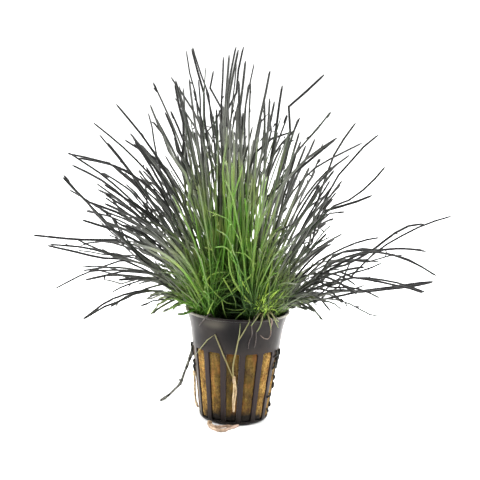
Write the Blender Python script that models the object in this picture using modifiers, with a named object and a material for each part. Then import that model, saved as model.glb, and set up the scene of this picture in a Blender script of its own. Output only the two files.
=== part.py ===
"""Potted dwarf hairgrass.

A slotted nursery pot, the mineral wool plug that fills it, 33 tufts of needle stems that stand on
the plug, and the loose plantlets and roots that hang over the rim and trail from the slots.
Metres, +Z up. The origin is the centre of the pot's base, on the surface it stands on, and the
viewer stands on the -Y side.
"""

import math
import random

import bmesh
import bpy
import numpy as np
from mathutils import Matrix, Vector

MM = 0.001

# Pot
POT_HEIGHT = 55.0 * MM
RIM_RADIUS = 25.7 * MM
SHOULDER_HEIGHT = 45.0 * MM
SHOULDER_RADIUS = 22.5 * MM
WALL_TAPER = 4.7 / 35.0
COLLAR_CURVE = 1.25
WALL = 0.9 * MM
LIP_RADIUS = 0.65 * MM
FLOOR = 1.2 * MM
BASE_CORNER = 3.6 * MM
SLOTS = 14
SLOT_DEGREES = 17.7
SLOT_BOTTOM = 2.8 * MM
SLOT_TOP = 37.0 * MM
FRONT_RIB_DEGREES = 8.8
POT_STEPS = 42

# Mineral wool plug
PLUG_TOP = 48.5 * MM
PLUG_BOTTOM = 1.6 * MM
PLUG_CROWN = 0.3 * MM
PLUG_STEPS = 28
GAP = 0.3 * MM

# Tufts: name, how many stand in the ring, ring radius, how far the stems lean, stems in each
RINGS = (
    ("centre", 1, 0.0, 4.0, 6),
    ("inner", 6, 6.4 * MM, 15.0, 6),
    ("middle", 12, 12.5 * MM, 32.0, 7),
    ("outer", 18, 18.6 * MM, 52.0, 6),
)
# The plant is open down to the wool behind the front of the rim: no tuft stands in this round
# hollow, and no stem passes through it
HOLLOW_PLACE = Vector((-2.0, -16.0, 56.0)) * MM
HOLLOW_RADIUS = 9.5 * MM
CROWN_RADIUS = 1.9 * MM
CROWN_JITTER = 0.35 * MM
CROWN_LEAN_SHARE = 0.6
STEM_STATIONS = (0.07, 0.30, 0.55, 0.80)
STEM_BASE_RADIUS = 0.52 * MM
STEM_TIP_RADIUS = 0.26 * MM
STEM_CLEARANCE = 0.3 * MM
LIP_CLEARANCE = 0.5 * MM
LEAN_SHARES = (0.5, 0.4, 0.6, 0.3, 0.7, 0.2)
FILL_LEAN_SHARES = (0.5, 0.4)
LONGEST_STEM = 135.0 * MM
LEAN_SHORTENING = 0.42 * MM
FILL_LENGTH_RANGE = (0.60, 0.95)
FILL_FAN = 0.42
FILL_SCATTER = 0.11
LEAN_SPREAD = 10.0
FILL_TRIALS = 90
LOWEST_TIP = 62.0 * MM
# How far the filling stems may reach in the front view: degrees from upright to the right, millimetres
FAN_REACH = (
    (-105, 42), (-91, 62), (-77, 72), (-63, 84), (-49, 94), (-35, 96), (-21, 104), (-10, 114), (0, 114),
    (7, 106), (14, 94), (21, 84), (28, 72), (35, 84), (42, 64), (49, 56), (56, 54), (63, 66), (77, 68),
    (98, 42),
)
FAN_STEP = 2.0 * MM
SHORTEST_FILL = 30.0 * MM
FRONT_TIP_RISE = 0.30
WIDEST_REACH = 99.0 * MM
SEED = 11

# Long stems that draw the outline, low left round to low right: a place on the way and the tip,
# in millimetres across, back and up
OUTLINE_STEMS = (
    ((-32, -20, 63), (-41, -34, 58)), ((-46, -13, 65), (-73, -22, 52)), ((-42, -18, 66), (-60, -30, 60)),
    ((-44, 8, 66), (-59, 14, 64)), ((-48, 1, 69), (-74, 2, 67)), ((-56, 6, 76), (-90, 10, 60)),
    ((-58, 11, 75), (-95, 18, 79)), ((-61, -4, 87), (-100, -6, 88)), ((-62, 18, 94), (-77, 30, 95)),
    ((-58, 5, 96), (-84, 8, 109)), ((-65, -12, 98), (-84, -20, 120)), ((-58, 23, 100), (-72, 38, 105)),
    ((-61, 13, 108), (-83, 22, 119)), ((-58, -2, 111), (-84, -4, 129)), ((-55, -18, 123), (-83, -30, 132)),
    ((-45, 2, 119), (-73, 4, 143)), ((-55, -14, 124), (-68, -24, 141)), ((-43, 19, 124), (-59, 32, 132)),
    ((-42, 5, 127), (-63, 8, 152)), ((-36, -16, 135), (-45, -26, 156)), ((-35, 7, 143), (-45, 12, 162)),
    ((-30, -6, 151), (-34, -10, 167)), ((-25, 16, 148), (-37, 26, 164)), ((-22, 2, 161), (-26, 4, 180)),
    ((-26, 20, 153), (-28, 34, 163)), ((-20, -12, 162), (-20, -20, 173)), ((-18, 12, 158), (-16, 20, 169)),
    ((-12, -5, 163), (-12, -8, 178)), ((-10, 11, 160), (-9, 18, 176)), ((-8, -2, 164), (-5, -4, 183)),
    ((-3, 5, 169), (-1, 8, 182)), ((-2, -13, 165), (0, -22, 178)), ((7, 7, 150), (11, 12, 170)),
    ((16, -7, 150), (18, -12, 166)), ((18, 2, 152), (38, 4, 170)), ((22, 13, 133), (27, 22, 146)),
    ((27, -16, 139), (40, -26, 156)), ((24, -8, 125), (43, -14, 142)), ((43, 6, 130), (54, 10, 147)),
    ((38, 16, 126), (59, 26, 135)), ((49, -5, 127), (64, -8, 144)), ((35, -20, 123), (48, -34, 138)),
    ((50, 10, 108), (69, 16, 126)), ((47, -16, 110), (61, -26, 118)), ((41, 22, 100), (51, 36, 99)),
    ((36, -26, 95), (42, -44, 106)), ((73, -6, 92), (100, -10, 107)), ((64, 7, 85), (90, 12, 98)),
    ((50, -19, 91), (65, -32, 98)), ((67, 13, 84), (91, 22, 83)), ((69, -2, 86), (95, -4, 76)),
    ((59, 5, 65), (95, 8, 70)), ((55, -11, 75), (88, -18, 70)), ((43, -24, 77), (55, -40, 73)),
    ((35, -28, 72), (49, -46, 71)), ((33, 16, 61), (52, 26, 54)), ((29, -24, 68), (44, -40, 65)),
    ((29, -20, 65), (40, -34, 58)),
)
# Tips of the stems that lean to the back and to the front, in millimetres
DEEP_TIPS = (
    (-12, 88, 84), (20, 92, 98), (48, 76, 88), (-46, 74, 96), (-30, 70, 128), (8, 66, 140),
    (36, 58, 132), (-60, 56, 76), (66, 52, 72), (14, -74, 108), (-22, -78, 100), (-48, -62, 98),
    (34, -66, 112), (-8, -60, 136), (-34, -50, 130), (20, -46, 150),
)
# An outline stem that meets another slides along the viewer's line of sight, which looks down this much
SIGHT_DEGREES = 10.6
SIGHT_SHIFTS = (0.0, 4.0, -4.0, 8.0, -8.0, 12.0, -12.0, 16.0, -16.0)
NEAR_CROWNS = 12
FACES_TRIED = 4
WIDEST_LEAN_DEGREES = 55.0

# Rim plantlet: crown place, then leaves and the stalk down to the plug as points in millimetres
RIM_CROWN = Vector((12.0, -17.2, 57.8)) * MM
RIM_CROWN_RADIUS = 1.7 * MM
RIM_LEAVES = (
    ((12.6, -17.6, 62.0), (13.2, -17.4, 68.0), (14.6, -16.4, 75.0), (15.6, -15.4, 82.0)),
    ((15.4, -17.8, 60.2), (18.6, -18.4, 63.8), (22.2, -19.4, 69.0)),
    ((9.6, -18.8, 61.0), (6.8, -20.8, 65.6), (1.8, -22.6, 72.4), (-1.6, -23.4, 80.0)),
    ((10.0, -15.6, 62.4), (9.4, -14.6, 69.0), (10.6, -13.6, 77.0)),
)
RIM_STALK = ((11.2, -15.8, 54.4), (10.4, -14.8, 49.6))
LEAF_RADII = (0.55 * MM, 0.28 * MM)

# Strands that hug the pot's outer wall: degrees round from the front, millimetres up
RIM_ROOTS = (
    ((18.8, 56.6), (16.2, 52.1), (18.0, 47.6), (15.2, 43.7), (14.8, 40.2)),
    ((26.2, 56.6), (25.6, 51.9), (22.8, 48.6), (23.8, 44.8), (22.5, 40.6)),
    ((35.5, 56.6), (41.5, 50.0), (43.6, 46.6), (40.8, 44.6), (34.1, 45.2), (27.8, 47.2)),
    ((44.5, 56.6), (50.0, 52.6), (56.4, 49.6)),
)
ROOT_RADII = (0.45 * MM, 0.3 * MM)
WALL_CLEARANCE = 0.45 * MM

# Hanging plantlet: its node on the wall, its runner over the rim, two leaves and its root
HANGING_NODE = (-1.0, 24.1)
HANGING_NODE_RADIUS = 0.85 * MM
RUNNER = ((0.6, 30.8), (3.2, 37.0), (6.0, 44.4), (9.0, 50.0), (11.6, 53.4), (13.8, 56.6))
RUNNER_END = Vector((5.4, -19.4, 55.0)) * MM
UPRIGHT_LEAF = ((-3.4, 30.8), (-0.6, 37.0), (2.2, 44.4), (3.4, 49.0), (3.2, 53.6))
KINKED_LEAF = ((-12.1, 33.6), (-26.0, 46.4), (-27.2, 47.4), (-28.8, 46.7), (-43.2, 40.4), (-69.6, 31.6))
HANGING_ROOT = ((0.8, 19.0), (-0.4, 13.1), (0.2, 7.8))
HANGING_LEAF_RADII = (0.5 * MM, 0.25 * MM)
HANGING_ROOT_RADII = (0.7 * MM, 0.45 * MM)

# Single roots, in millimetres: across, back, up
TRAILING_ROOT = (
    (-20.2, 6.1, 36.0), (-22.0, 8.6, 33.8), (-22.7, 12.0, 31.3), (-24.2, 16.0, 23.0),
    (-26.1, 21.0, 15.0), (-27.3, 25.0, 9.7), (-29.6, 28.0, 6.2), (-32.1, 30.0, 3.0),
    (-33.8, 30.2, 1.3), (-35.0, 29.0, 0.8), (-36.4, 25.4, 0.75), (-37.0, 22.6, 0.75),
)
TRAILING_RADIUS = 0.66 * MM
SURFACE_ROOT = (
    (-14.2, -10.7, 4.8), (-14.6, -12.6, 2.4), (-13.2, -15.4, 1.1), (-11.4, -19.6, 0.8),
    (-9.8, -23.8, 0.75), (-7.8, -27.0, 0.75), (-5.8, -27.8, 0.75), (-3.6, -26.6, 0.75),
    (-1.4, -23.4, 0.75), (1.2, -19.6, 0.8), (2.8, -17.6, 1.0),
)
SURFACE_RADIUS = 0.65 * MM
SIDE_ROOT = ((-80.0, 24.0), (-84.0, 20.0), (-89.0, 15.0), (-91.0, 11.0), (-88.0, 7.5), (-78.0, 5.4))
SIDE_RADIUS = 0.55 * MM
RIM_ROOT_START = Vector((-9.6, -17.6, 51.4)) * MM
RIM_ROOT = ((-32.0, 56.4), (-38.9, 53.2), (-47.9, 49.6))
RIM_ROOT_RADIUS = 0.35 * MM
THREAD_BEVEL_RESOLUTION = 1

for old in list(bpy.data.objects):
    bpy.data.objects.remove(old, do_unlink=True)
plant = bpy.data.collections.new("potted_dwarf_hairgrass")
bpy.context.scene.collection.children.link(plant)
cutters = bpy.data.collections.new("cutters")
bpy.context.scene.collection.children.link(cutters)


def material(name, colour, roughness):
    """One Principled material with the part's own colour."""
    made = bpy.data.materials.new(name)
    made.use_nodes = True
    shader = made.node_tree.nodes["Principled BSDF"]
    shader.inputs["Base Color"].default_value = (*colour, 1.0)
    shader.inputs["Roughness"].default_value = roughness
    made.diffuse_color = (*colour, 1.0)
    return made


POT_PLASTIC = material("dark_grey_polypropylene", (0.055, 0.048, 0.046), 0.35)
MINERAL_WOOL = material("mineral_wool", (0.30, 0.17, 0.045), 0.95)
GRASS = material("green_stem", (0.10, 0.20, 0.035), 0.5)
YOUNG_LEAF = material("young_leaf", (0.26, 0.36, 0.08), 0.5)
ROOT = material("pale_root", (0.52, 0.42, 0.26), 0.6)
DARK_ROOT = material("dark_root", (0.10, 0.09, 0.06), 0.7)


def add_mesh(name, bm, finish, collection=plant):
    """A new object from a bmesh, smooth where its faces meet gently."""
    mesh = bpy.data.meshes.new(name)
    bm.to_mesh(mesh)
    bm.free()
    mesh.materials.append(finish)
    thing = bpy.data.objects.new(name, mesh)
    collection.objects.link(thing)
    return thing


def smooth(thing, sharp_degrees=40.0):
    thing.data.shade_smooth()
    thing.data.set_sharp_from_angle(angle=math.radians(sharp_degrees))


def arc(centre, radii, start, end, steps):
    """Points of an elliptical arc in the (radius, height) plane, angles in degrees."""
    angles = [math.radians(start + (end - start) * i / steps) for i in range(steps + 1)]
    return [(centre[0] + radii[0] * math.cos(a), centre[1] + radii[1] * math.sin(a)) for a in angles]


def wall_radius(height):
    """The pot's outer radius: a straight taper below the shoulder and a flared collar above it."""
    if height <= SHOULDER_HEIGHT:
        return SHOULDER_RADIUS - (SHOULDER_HEIGHT - height) * WALL_TAPER
    share = (height - SHOULDER_HEIGHT) / (POT_HEIGHT - SHOULDER_HEIGHT)
    flare = RIM_RADIUS - LIP_RADIUS / 2 - SHOULDER_RADIUS
    return SHOULDER_RADIUS + flare * min(share, 1.0) ** COLLAR_CURVE


def turned(name, profile, steps, finish):
    """A solid of revolution: the profile with a Screw modifier round Z."""
    bm = bmesh.new()
    verts = [bm.verts.new((radius, 0.0, height)) for radius, height in profile]
    for first, second in zip(verts, verts[1:]):
        bm.edges.new((first, second))
    thing = add_mesh(name, bm, finish)
    screw = thing.modifiers.new("Turn", "SCREW")
    screw.steps = steps
    screw.render_steps = steps
    screw.use_merge_vertices = True
    screw.merge_threshold = 0.00001
    screw.use_smooth_shade = True
    return thing


def collar_heights():
    """Heights up the flared collar, where the profile has points."""
    top = POT_HEIGHT - 2 * LIP_RADIUS
    return [SHOULDER_HEIGHT + (top - SHOULDER_HEIGHT) * share for share in (0.0, 0.33, 0.66, 1.0)]


def foot_corner(wall, floor, start, end, steps):
    """The rounded corner at the pot's foot, this far inside its wall and above its underside."""
    foot = wall_radius(0.0)
    centre = (foot - BASE_CORNER, BASE_CORNER)
    corner = arc(centre, (BASE_CORNER - wall, BASE_CORNER - floor), start, end, steps)
    return [(radius + (wall_radius(height) - foot) * (height > floor), height) for radius, height in corner]


def pot_profile():
    """Up the inside, over the lip, down the outside and in to the axis along the base."""
    inside = [(wall_radius(height) - WALL, height) for height in collar_heights()]
    lip_centre = (RIM_RADIUS - LIP_RADIUS, POT_HEIGHT - LIP_RADIUS)
    lip = arc(lip_centre, (LIP_RADIUS, LIP_RADIUS), 180, -20, 5)
    outside = [(wall_radius(height), height) for height in reversed(collar_heights())]
    corner_in = foot_corner(WALL, FLOOR, -90, 0, 3)
    corner_out = foot_corner(0.0, 0.0, 0, -90, 4)
    return [(0.0, FLOOR), *corner_in, *inside, *lip, *outside, *corner_out, (0.0, 0.0)]


def slot_cutters():
    """Fourteen wedges that open the wall between its ribs."""
    bm = bmesh.new()
    inner = wall_radius(0.0) - BASE_CORNER - WALL
    outer = RIM_RADIUS + BASE_CORNER
    half = math.tan(math.radians(SLOT_DEGREES / 2))
    for index in range(SLOTS):
        degrees = FRONT_RIB_DEGREES + (index + 0.5) * 360.0 / SLOTS
        turn = Matrix.Rotation(math.radians(degrees), 4, "Z")
        for vert in bmesh.ops.create_cube(bm, size=1.0)["verts"]:
            reach = outer if vert.co.y < 0 else inner
            side = math.copysign(reach * half, vert.co.x)
            height = SLOT_TOP if vert.co.z > 0 else SLOT_BOTTOM
            vert.co = turn @ Vector((side, -reach, height))
    cutter = add_mesh("slot_cutters", bm, POT_PLASTIC, cutters)
    cutter.hide_render = True
    cutter.display_type = "WIRE"
    return cutter


def make_pot():
    pot = turned("pot", pot_profile(), POT_STEPS, POT_PLASTIC)
    cut = pot.modifiers.new("Slots", "BOOLEAN")
    cut.operation = "DIFFERENCE"
    cut.solver = "EXACT"
    cut.object = slot_cutters()


def make_plug():
    """The wool plug: the pot's inside less a small gap, with a slightly domed top."""
    def place(height, inset=0.0):
        return (wall_radius(height) - WALL - GAP - inset, height)

    top_edge = place(PLUG_TOP - PLUG_CROWN, 1.2 * MM)
    profile = [(0.0, PLUG_TOP), top_edge, place(PLUG_TOP - 1.0 * MM)]
    profile += [place(SHOULDER_HEIGHT), place(24.0 * MM), place(5.0 * MM)]
    profile += [place(2.6 * MM, 1.2 * MM), place(PLUG_BOTTOM, 3.4 * MM), (0.0, PLUG_BOTTOM)]
    turned("wool_plug", profile, PLUG_STEPS, MINERAL_WOOL)


def on_circle(degrees, radius, height):
    """A point at this angle round from the front, to the right, and this far from the axis."""
    angle = math.radians(degrees)
    return Vector((radius * math.sin(angle), -radius * math.cos(angle), height))


def beside_wall(degrees, height, stand_off):
    """The point at this angle and height that stands clear of the pot's outer wall."""
    return on_circle(degrees, wall_radius(height) + stand_off, height)


def wall_route(places, radius):
    """A strand's route down or up the wall from (degrees, millimetres) places.

    A place above the rim lies over the lip, and the strand rounds the lip's outside next to it.
    """
    points = []
    stand_off = radius + WALL_CLEARANCE
    last_degrees, last_over = places[0][0], places[0][1] * MM > POT_HEIGHT
    for degrees, height in places:
        over = height * MM > POT_HEIGHT
        if over != last_over:
            middle = (degrees + last_degrees) / 2
            points.append(on_circle(middle, RIM_RADIUS + stand_off, POT_HEIGHT - LIP_RADIUS))
        if over:
            points.append(on_circle(degrees, RIM_RADIUS - LIP_RADIUS, height * MM))
        else:
            points.append(beside_wall(degrees, height * MM, stand_off))
        last_degrees, last_over = degrees, over
    return points


def routed(places):
    return [Vector(place) * MM for place in places]


def tangents(points):
    """The direction along a polyline at each of its points."""
    steps = [(after - before).normalized() for before, after in zip(points, points[1:])]
    middle = [(first + second).normalized() for first, second in zip(steps, steps[1:])]
    return [steps[0], *middle, steps[-1]]


def radii_along(points, radii):
    """Radius at each point, from the first value at the start to the second at the end."""
    lengths = [0.0]
    for before, after in zip(points, points[1:]):
        lengths.append(lengths[-1] + (after - before).length)
    return [radii[0] + (radii[1] - radii[0]) * length / lengths[-1] for length in lengths]


def extrude_strand(bm, face, route, radii):
    """Grows a three-sided tapering strand out of one face along the route, to a pointed tip."""
    centre = face.calc_center_median()
    direction = face.normal.copy()
    points = [centre, *route]
    headings = tangents(points)
    sizes = radii_along(points, radii)
    for point, heading, size in list(zip(points, headings, sizes))[1:-1]:
        turn = direction.rotation_difference(heading)
        face = bmesh.ops.extrude_discrete_faces(bm, faces=[face])["faces"][0]
        for vert in face.verts:
            offset = turn @ (vert.co - centre).normalized()
            vert.co = point + offset * size
        centre = point
        direction = heading
    tip = bmesh.ops.poke(bm, faces=[face])["verts"][0]
    tip.co = points[-1]


class Crown:
    """The small knot that a plantlet's strands grow from, one strand from each used face."""

    def __init__(self, name, place, radius, axis, finish):
        self.name = name
        self.place = place
        self.radius = radius
        self.axis = axis
        self.finish = finish
        self.strands = []
        self.bm = bmesh.new()
        turn = Vector((0.0, 0.0, 1.0)).rotation_difference(axis).to_matrix().to_4x4()
        matrix = Matrix.Translation(place) @ turn
        bmesh.ops.create_icosphere(self.bm, subdivisions=1, radius=radius, matrix=matrix)
        self.bm.normal_update()
        self.bm.faces.ensure_lookup_table()
        self.free = list(range(len(self.bm.faces)))

    def face_centre(self, index):
        return self.bm.faces[index].calc_center_median()

    def face_normal(self, index):
        return self.bm.faces[index].normal.copy()

    def faces_towards(self, direction):
        """The free faces, first the one that looks most this way."""
        return sorted(self.free, key=lambda index: -self.face_normal(index).dot(direction))

    def add_strand(self, index, route, radii):
        self.free.remove(index)
        self.strands.append((index, route, radii))

    def finish_mesh(self):
        faces = {index: self.bm.faces[index] for index, _, _ in self.strands}
        for index, route, radii in self.strands:
            extrude_strand(self.bm, faces[index], route, radii)
        bmesh.ops.recalc_face_normals(self.bm, faces=self.bm.faces)
        smooth(add_mesh(self.name, self.bm, self.finish))


class Occupied:
    """Every strand placed so far, as tapered straight pieces that a new one has to clear."""

    def __init__(self):
        self.starts = np.empty((0, 3))
        self.ends = np.empty((0, 3))
        self.radii = np.empty(0)
        self.owners = np.empty(0, dtype=str)

    def pieces(self, points, sizes):
        corners = np.array([tuple(point) for point in points])
        thick = np.array([max(pair) for pair in zip(sizes, sizes[1:])])
        return corners[:-1], corners[1:], thick

    def add(self, owner, points, sizes):
        starts, ends, thick = self.pieces(points, sizes)
        self.starts = np.vstack([self.starts, starts])
        self.ends = np.vstack([self.ends, ends])
        self.radii = np.concatenate([self.radii, thick])
        self.owners = np.concatenate([self.owners, [owner] * len(thick)])

    def clears(self, owner, points, sizes):
        """Whether a strand clears every piece; at its foot its own plantlet doesn't count."""
        starts, ends, thick = self.pieces(points, sizes)
        gaps = piece_distances(starts, ends, self.starts, self.ends)
        gaps -= thick[:, None] + self.radii[None, :]
        gaps[0, self.owners == owner] = np.inf
        return bool((gaps > STEM_CLEARANCE).all())


def piece_distances(starts_a, ends_a, starts_b, ends_b):
    """Shortest distance between every straight piece of one set and every one of the other."""
    along_a = (ends_a - starts_a)[:, None, :]
    along_b = (ends_b - starts_b)[None, :, :]
    between = starts_a[:, None, :] - starts_b[None, :, :]
    length_a = (along_a * along_a).sum(axis=2)
    length_b = np.maximum((along_b * along_b).sum(axis=2), 1e-12)
    cross = (along_a * along_b).sum(axis=2)
    slope_a = (along_a * between).sum(axis=2)
    slope_b = (along_b * between).sum(axis=2)
    spread = np.maximum(length_a * length_b - cross * cross, 1e-18)
    share_a = np.clip((cross * slope_b - slope_a * length_b) / spread, 0.0, 1.0)
    share_b = np.clip((cross * share_a + slope_b) / length_b, 0.0, 1.0)
    share_a = np.clip((cross * share_b - slope_a) / np.maximum(length_a, 1e-12), 0.0, 1.0)
    gap = between + along_a * share_a[..., None] - along_b * share_b[..., None]
    return np.sqrt((gap * gap).sum(axis=2))


def clears_lip(points, radius):
    """Whether a stem leaves the pot over its lip, and nowhere through its wall."""
    for before, after in zip(points, points[1:]):
        for step in range(12):
            place = before.lerp(after, step / 12)
            reach = math.hypot(place.x, place.y)
            room = radius + LIP_CLEARANCE
            beside_lip = wall_radius(min(place.z, POT_HEIGHT)) - WALL - room < reach < RIM_RADIUS + room
            if place.z < POT_HEIGHT + room and beside_lip:
                return False
    return True


def in_hollow(place):
    return (place - HOLLOW_PLACE).length < HOLLOW_RADIUS


def clears_hollow(points):
    """Whether a stem stays out of the hollow, apart from its foot."""
    steps = [share / 6 for share in range(1, 7)]
    places = [before.lerp(after, step) for before, after in zip(points[1:], points[2:]) for step in steps]
    return not any(in_hollow(place) for place in places)


def leaning(lean, heading):
    """The unit direction that leans this far from upright, towards this heading."""
    flat = math.sin(lean)
    return Vector((flat * math.cos(heading), flat * math.sin(heading), math.cos(lean)))


def bow(start, pull, tip):
    """Ring places and tip of a stem: the parabola from start to tip that sets off towards pull."""
    route = []
    for station in (*STEM_STATIONS, 1.0):
        rest = 1.0 - station
        route.append(start * rest * rest + pull * 2.0 * station * rest + tip * station * station)
    return route


def arched_route(start, tip, share):
    """A stem that sets off at a share of its chord's lean and arches over towards its tip."""
    chord = tip - start
    lean = math.atan2(math.hypot(chord.x, chord.y), chord.z) * share
    set_off = leaning(lean, math.atan2(chord.y, chord.x))
    return bow(start, start + set_off * chord.length * 0.5, tip)


def drawn_route(start, middle, tip):
    """A stem that passes through one place on its way to the tip."""
    lower = (middle - start).length
    share = lower / (lower + (tip - middle).length)
    rest = 1.0 - share
    pull = (middle - start * rest * rest - tip * share * share) / (2.0 * share * rest)
    return bow(start, pull, tip)


def make_tufts(occupied):
    """Stands the crowns in rings on the plug and gives every one its stems."""
    chance = random.Random(SEED)
    crowns = []
    for ring, count, radius, lean, stems in RINGS:
        number = 0
        for index in range(count):
            angle = 2.0 * math.pi * (index + 0.5 * (ring == "outer")) / count
            place = Vector((radius * math.cos(angle), radius * math.sin(angle), 0.0))
            place.x += chance.uniform(-CROWN_JITTER, CROWN_JITTER)
            place.y += chance.uniform(-CROWN_JITTER, CROWN_JITTER)
            place.z = PLUG_TOP + GAP + CROWN_RADIUS
            if in_hollow(place):
                continue
            number += 1
            axis = leaning(math.radians(CROWN_LEAN_SHARE * lean), angle)
            name = "tuft_centre" if count == 1 else f"tuft_{ring}_{number}"
            crown = Crown(name, place, CROWN_RADIUS, axis, GRASS)
            crown.lean = math.radians(lean)
            crown.heading = angle
            crown.room = stems
            crowns.append(crown)
            occupied.add(name, [place, place], [CROWN_RADIUS, CROWN_RADIUS])
    missed = 0
    for middle, tip in OUTLINE_STEMS:
        missed += not grow_outline_stem(crowns, Vector(middle) * MM, Vector(tip) * MM, occupied)
    for tip in DEEP_TIPS:
        missed += not grow_deep_stem(crowns, Vector(tip) * MM, occupied)
    for crown in crowns:
        for _ in range(crown.room):
            grow_fill_stem(crown, occupied, chance)
    for crown in crowns:
        crown.finish_mesh()
    grown = sum(len(crown.strands) for crown in crowns)
    print(f"{len(crowns)} tufts, {grown} stems, {missed} outline stems with no room")


def try_stem(crown, face, routes, occupied):
    """Adds one stem to a crown's face by the first of the routes that clears everything."""
    radii = (STEM_BASE_RADIUS, STEM_TIP_RADIUS)
    for route in routes:
        points = [crown.face_centre(face), *route]
        sizes = radii_along(points, radii)
        has_room = clears_lip(points, STEM_BASE_RADIUS) and clears_hollow(points)
        if has_room and occupied.clears(crown.name, points, sizes):
            occupied.add(crown.name, points, sizes)
            crown.add_strand(face, route, radii)
            crown.room -= 1
            return True
    return False


def crowns_for(crowns, tip):
    """The crowns with room that lie nearest to where a stem with this tip would stand."""
    heading = math.atan2(tip.y, tip.x)
    lean = math.atan2(math.hypot(tip.x, tip.y), tip.z - PLUG_TOP)
    reach = min(lean / math.radians(WIDEST_LEAN_DEGREES), 1.0) * RINGS[-1][2]
    wanted = Vector((reach * math.cos(heading), reach * math.sin(heading), PLUG_TOP))
    with_room = [crown for crown in crowns if crown.room > 0]
    return sorted(with_room, key=lambda crown: (crown.place - wanted).length)[:NEAR_CROWNS]


def grow_outline_stem(crowns, middle, tip, occupied):
    """Grows one stem through a drawn place to a drawn tip, moved along the line of sight if need be."""
    slope = math.radians(SIGHT_DEGREES)
    sight = Vector((0.0, math.cos(slope), -math.sin(slope))) * MM
    moves = [sight * shift for shift in SIGHT_SHIFTS]
    for crown in crowns_for(crowns, tip):
        for face in crown.faces_towards(middle - crown.place)[:FACES_TRIED]:
            start = crown.face_centre(face)
            routes = [drawn_route(start, middle + move, tip + move) for move in moves]
            if try_stem(crown, face, routes, occupied):
                return True
    return False


def grow_deep_stem(crowns, tip, occupied):
    """Grows one stem to a tip at the front or the back, arched as much as its neighbours let it."""
    for crown in crowns_for(crowns, tip):
        for face in crown.faces_towards(tip - crown.place)[:FACES_TRIED]:
            start = crown.face_centre(face)
            if try_stem(crown, face, [arched_route(start, tip, share) for share in LEAN_SHARES], occupied):
                return True
    return False


def within_fan(start, direction, length):
    """The stem's length, cut so that its tip stays inside the fan's uneven outline in the front view."""
    while length > SHORTEST_FILL:
        tip = start + direction * length
        rise = tip.z - POT_HEIGHT
        reach = np.interp(math.degrees(math.atan2(tip.x, rise)), *zip(*FAN_REACH)) * MM
        if math.hypot(tip.x, rise) <= reach:
            break
        length -= FAN_STEP
    return length


def grow_fill_stem(crown, occupied, chance):
    """Gives a crown one more stem, in a direction that one of its free upper faces looks to."""
    faces = crown.faces_towards(Vector((0.0, 0.0, 1.0)))[:FACES_TRIED]
    for trial in range(FILL_TRIALS):
        face = faces[trial * len(faces) // FILL_TRIALS]
        outward = crown.face_normal(face) - crown.axis * crown.face_normal(face).dot(crown.axis)
        lean = crown.lean + math.radians(chance.uniform(-LEAN_SPREAD, LEAN_SPREAD))
        mean = leaning(lean, crown.heading)
        scatter = Vector([chance.gauss(0.0, FILL_SCATTER) for _ in range(3)])
        direction = (mean + outward * FILL_FAN + scatter).normalized()
        tilt = math.degrees(math.acos(max(-1.0, min(1.0, direction.z))))
        length = (LONGEST_STEM - LEAN_SHORTENING * tilt) * chance.uniform(*FILL_LENGTH_RANGE)
        length = within_fan(crown.face_centre(face), direction, length)
        tip = crown.face_centre(face) + direction * length
        too_low = tip.z < LOWEST_TIP + FRONT_TIP_RISE * max(0.0, -tip.y)
        if too_low or math.hypot(tip.x, tip.y) > WIDEST_REACH:
            continue
        start = crown.face_centre(face)
        if try_stem(crown, face, [arched_route(start, tip, share) for share in FILL_LEAN_SHARES], occupied):
            return True
    crown.room -= 1
    return False


def add_routes(crown, routes, radii, occupied):
    """Adds strands with set routes to a small plantlet, each from the face that looks its way."""
    for route in routes:
        face = crown.faces_towards(route[0] - crown.place)[0]
        crown.add_strand(face, route, radii)
        points = [crown.face_centre(face), *route]
        occupied.add(crown.name, points, radii_along(points, radii))


def make_rim_plantlet(occupied):
    crown = Crown("rim_plantlet", RIM_CROWN, RIM_CROWN_RADIUS, Vector((0.0, 0.0, 1.0)), YOUNG_LEAF)
    add_routes(crown, [routed(leaf) for leaf in RIM_LEAVES], LEAF_RADII, occupied)
    add_routes(crown, [routed(RIM_STALK)], LEAF_RADII, occupied)
    add_routes(crown, [wall_route(root, ROOT_RADII[0]) for root in RIM_ROOTS], ROOT_RADII, occupied)
    crown.finish_mesh()


def make_hanging_plantlet(occupied):
    degrees, height = HANGING_NODE
    place = beside_wall(degrees, height * MM, HANGING_NODE_RADIUS + WALL_CLEARANCE)
    crown = Crown("hanging_plantlet", place, HANGING_NODE_RADIUS, Vector((0.0, 0.0, 1.0)), YOUNG_LEAF)
    runner = [*wall_route(RUNNER, HANGING_LEAF_RADII[0]), RUNNER_END]
    leaves = [wall_route(leaf, HANGING_LEAF_RADII[0]) for leaf in (UPRIGHT_LEAF, KINKED_LEAF)]
    add_routes(crown, [runner, *leaves], HANGING_LEAF_RADII, occupied)
    add_routes(crown, [wall_route(HANGING_ROOT, HANGING_ROOT_RADII[0])], HANGING_ROOT_RADII, occupied)
    crown.finish_mesh()


def make_thread(name, points, radius, finish, occupied):
    """A single root: a round tube along a polyline, with closed ends."""
    curve = bpy.data.curves.new(name, "CURVE")
    curve.dimensions = "3D"
    curve.bevel_depth = radius
    curve.bevel_resolution = THREAD_BEVEL_RESOLUTION
    curve.use_fill_caps = True
    spline = curve.splines.new("POLY")
    spline.points.add(len(points) - 1)
    for knot, point in zip(spline.points, points):
        knot.co = (*point, 1.0)
    curve.materials.append(finish)
    plant.objects.link(bpy.data.objects.new(name, curve))
    occupied.add(name, points, [radius] * len(points))


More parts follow.
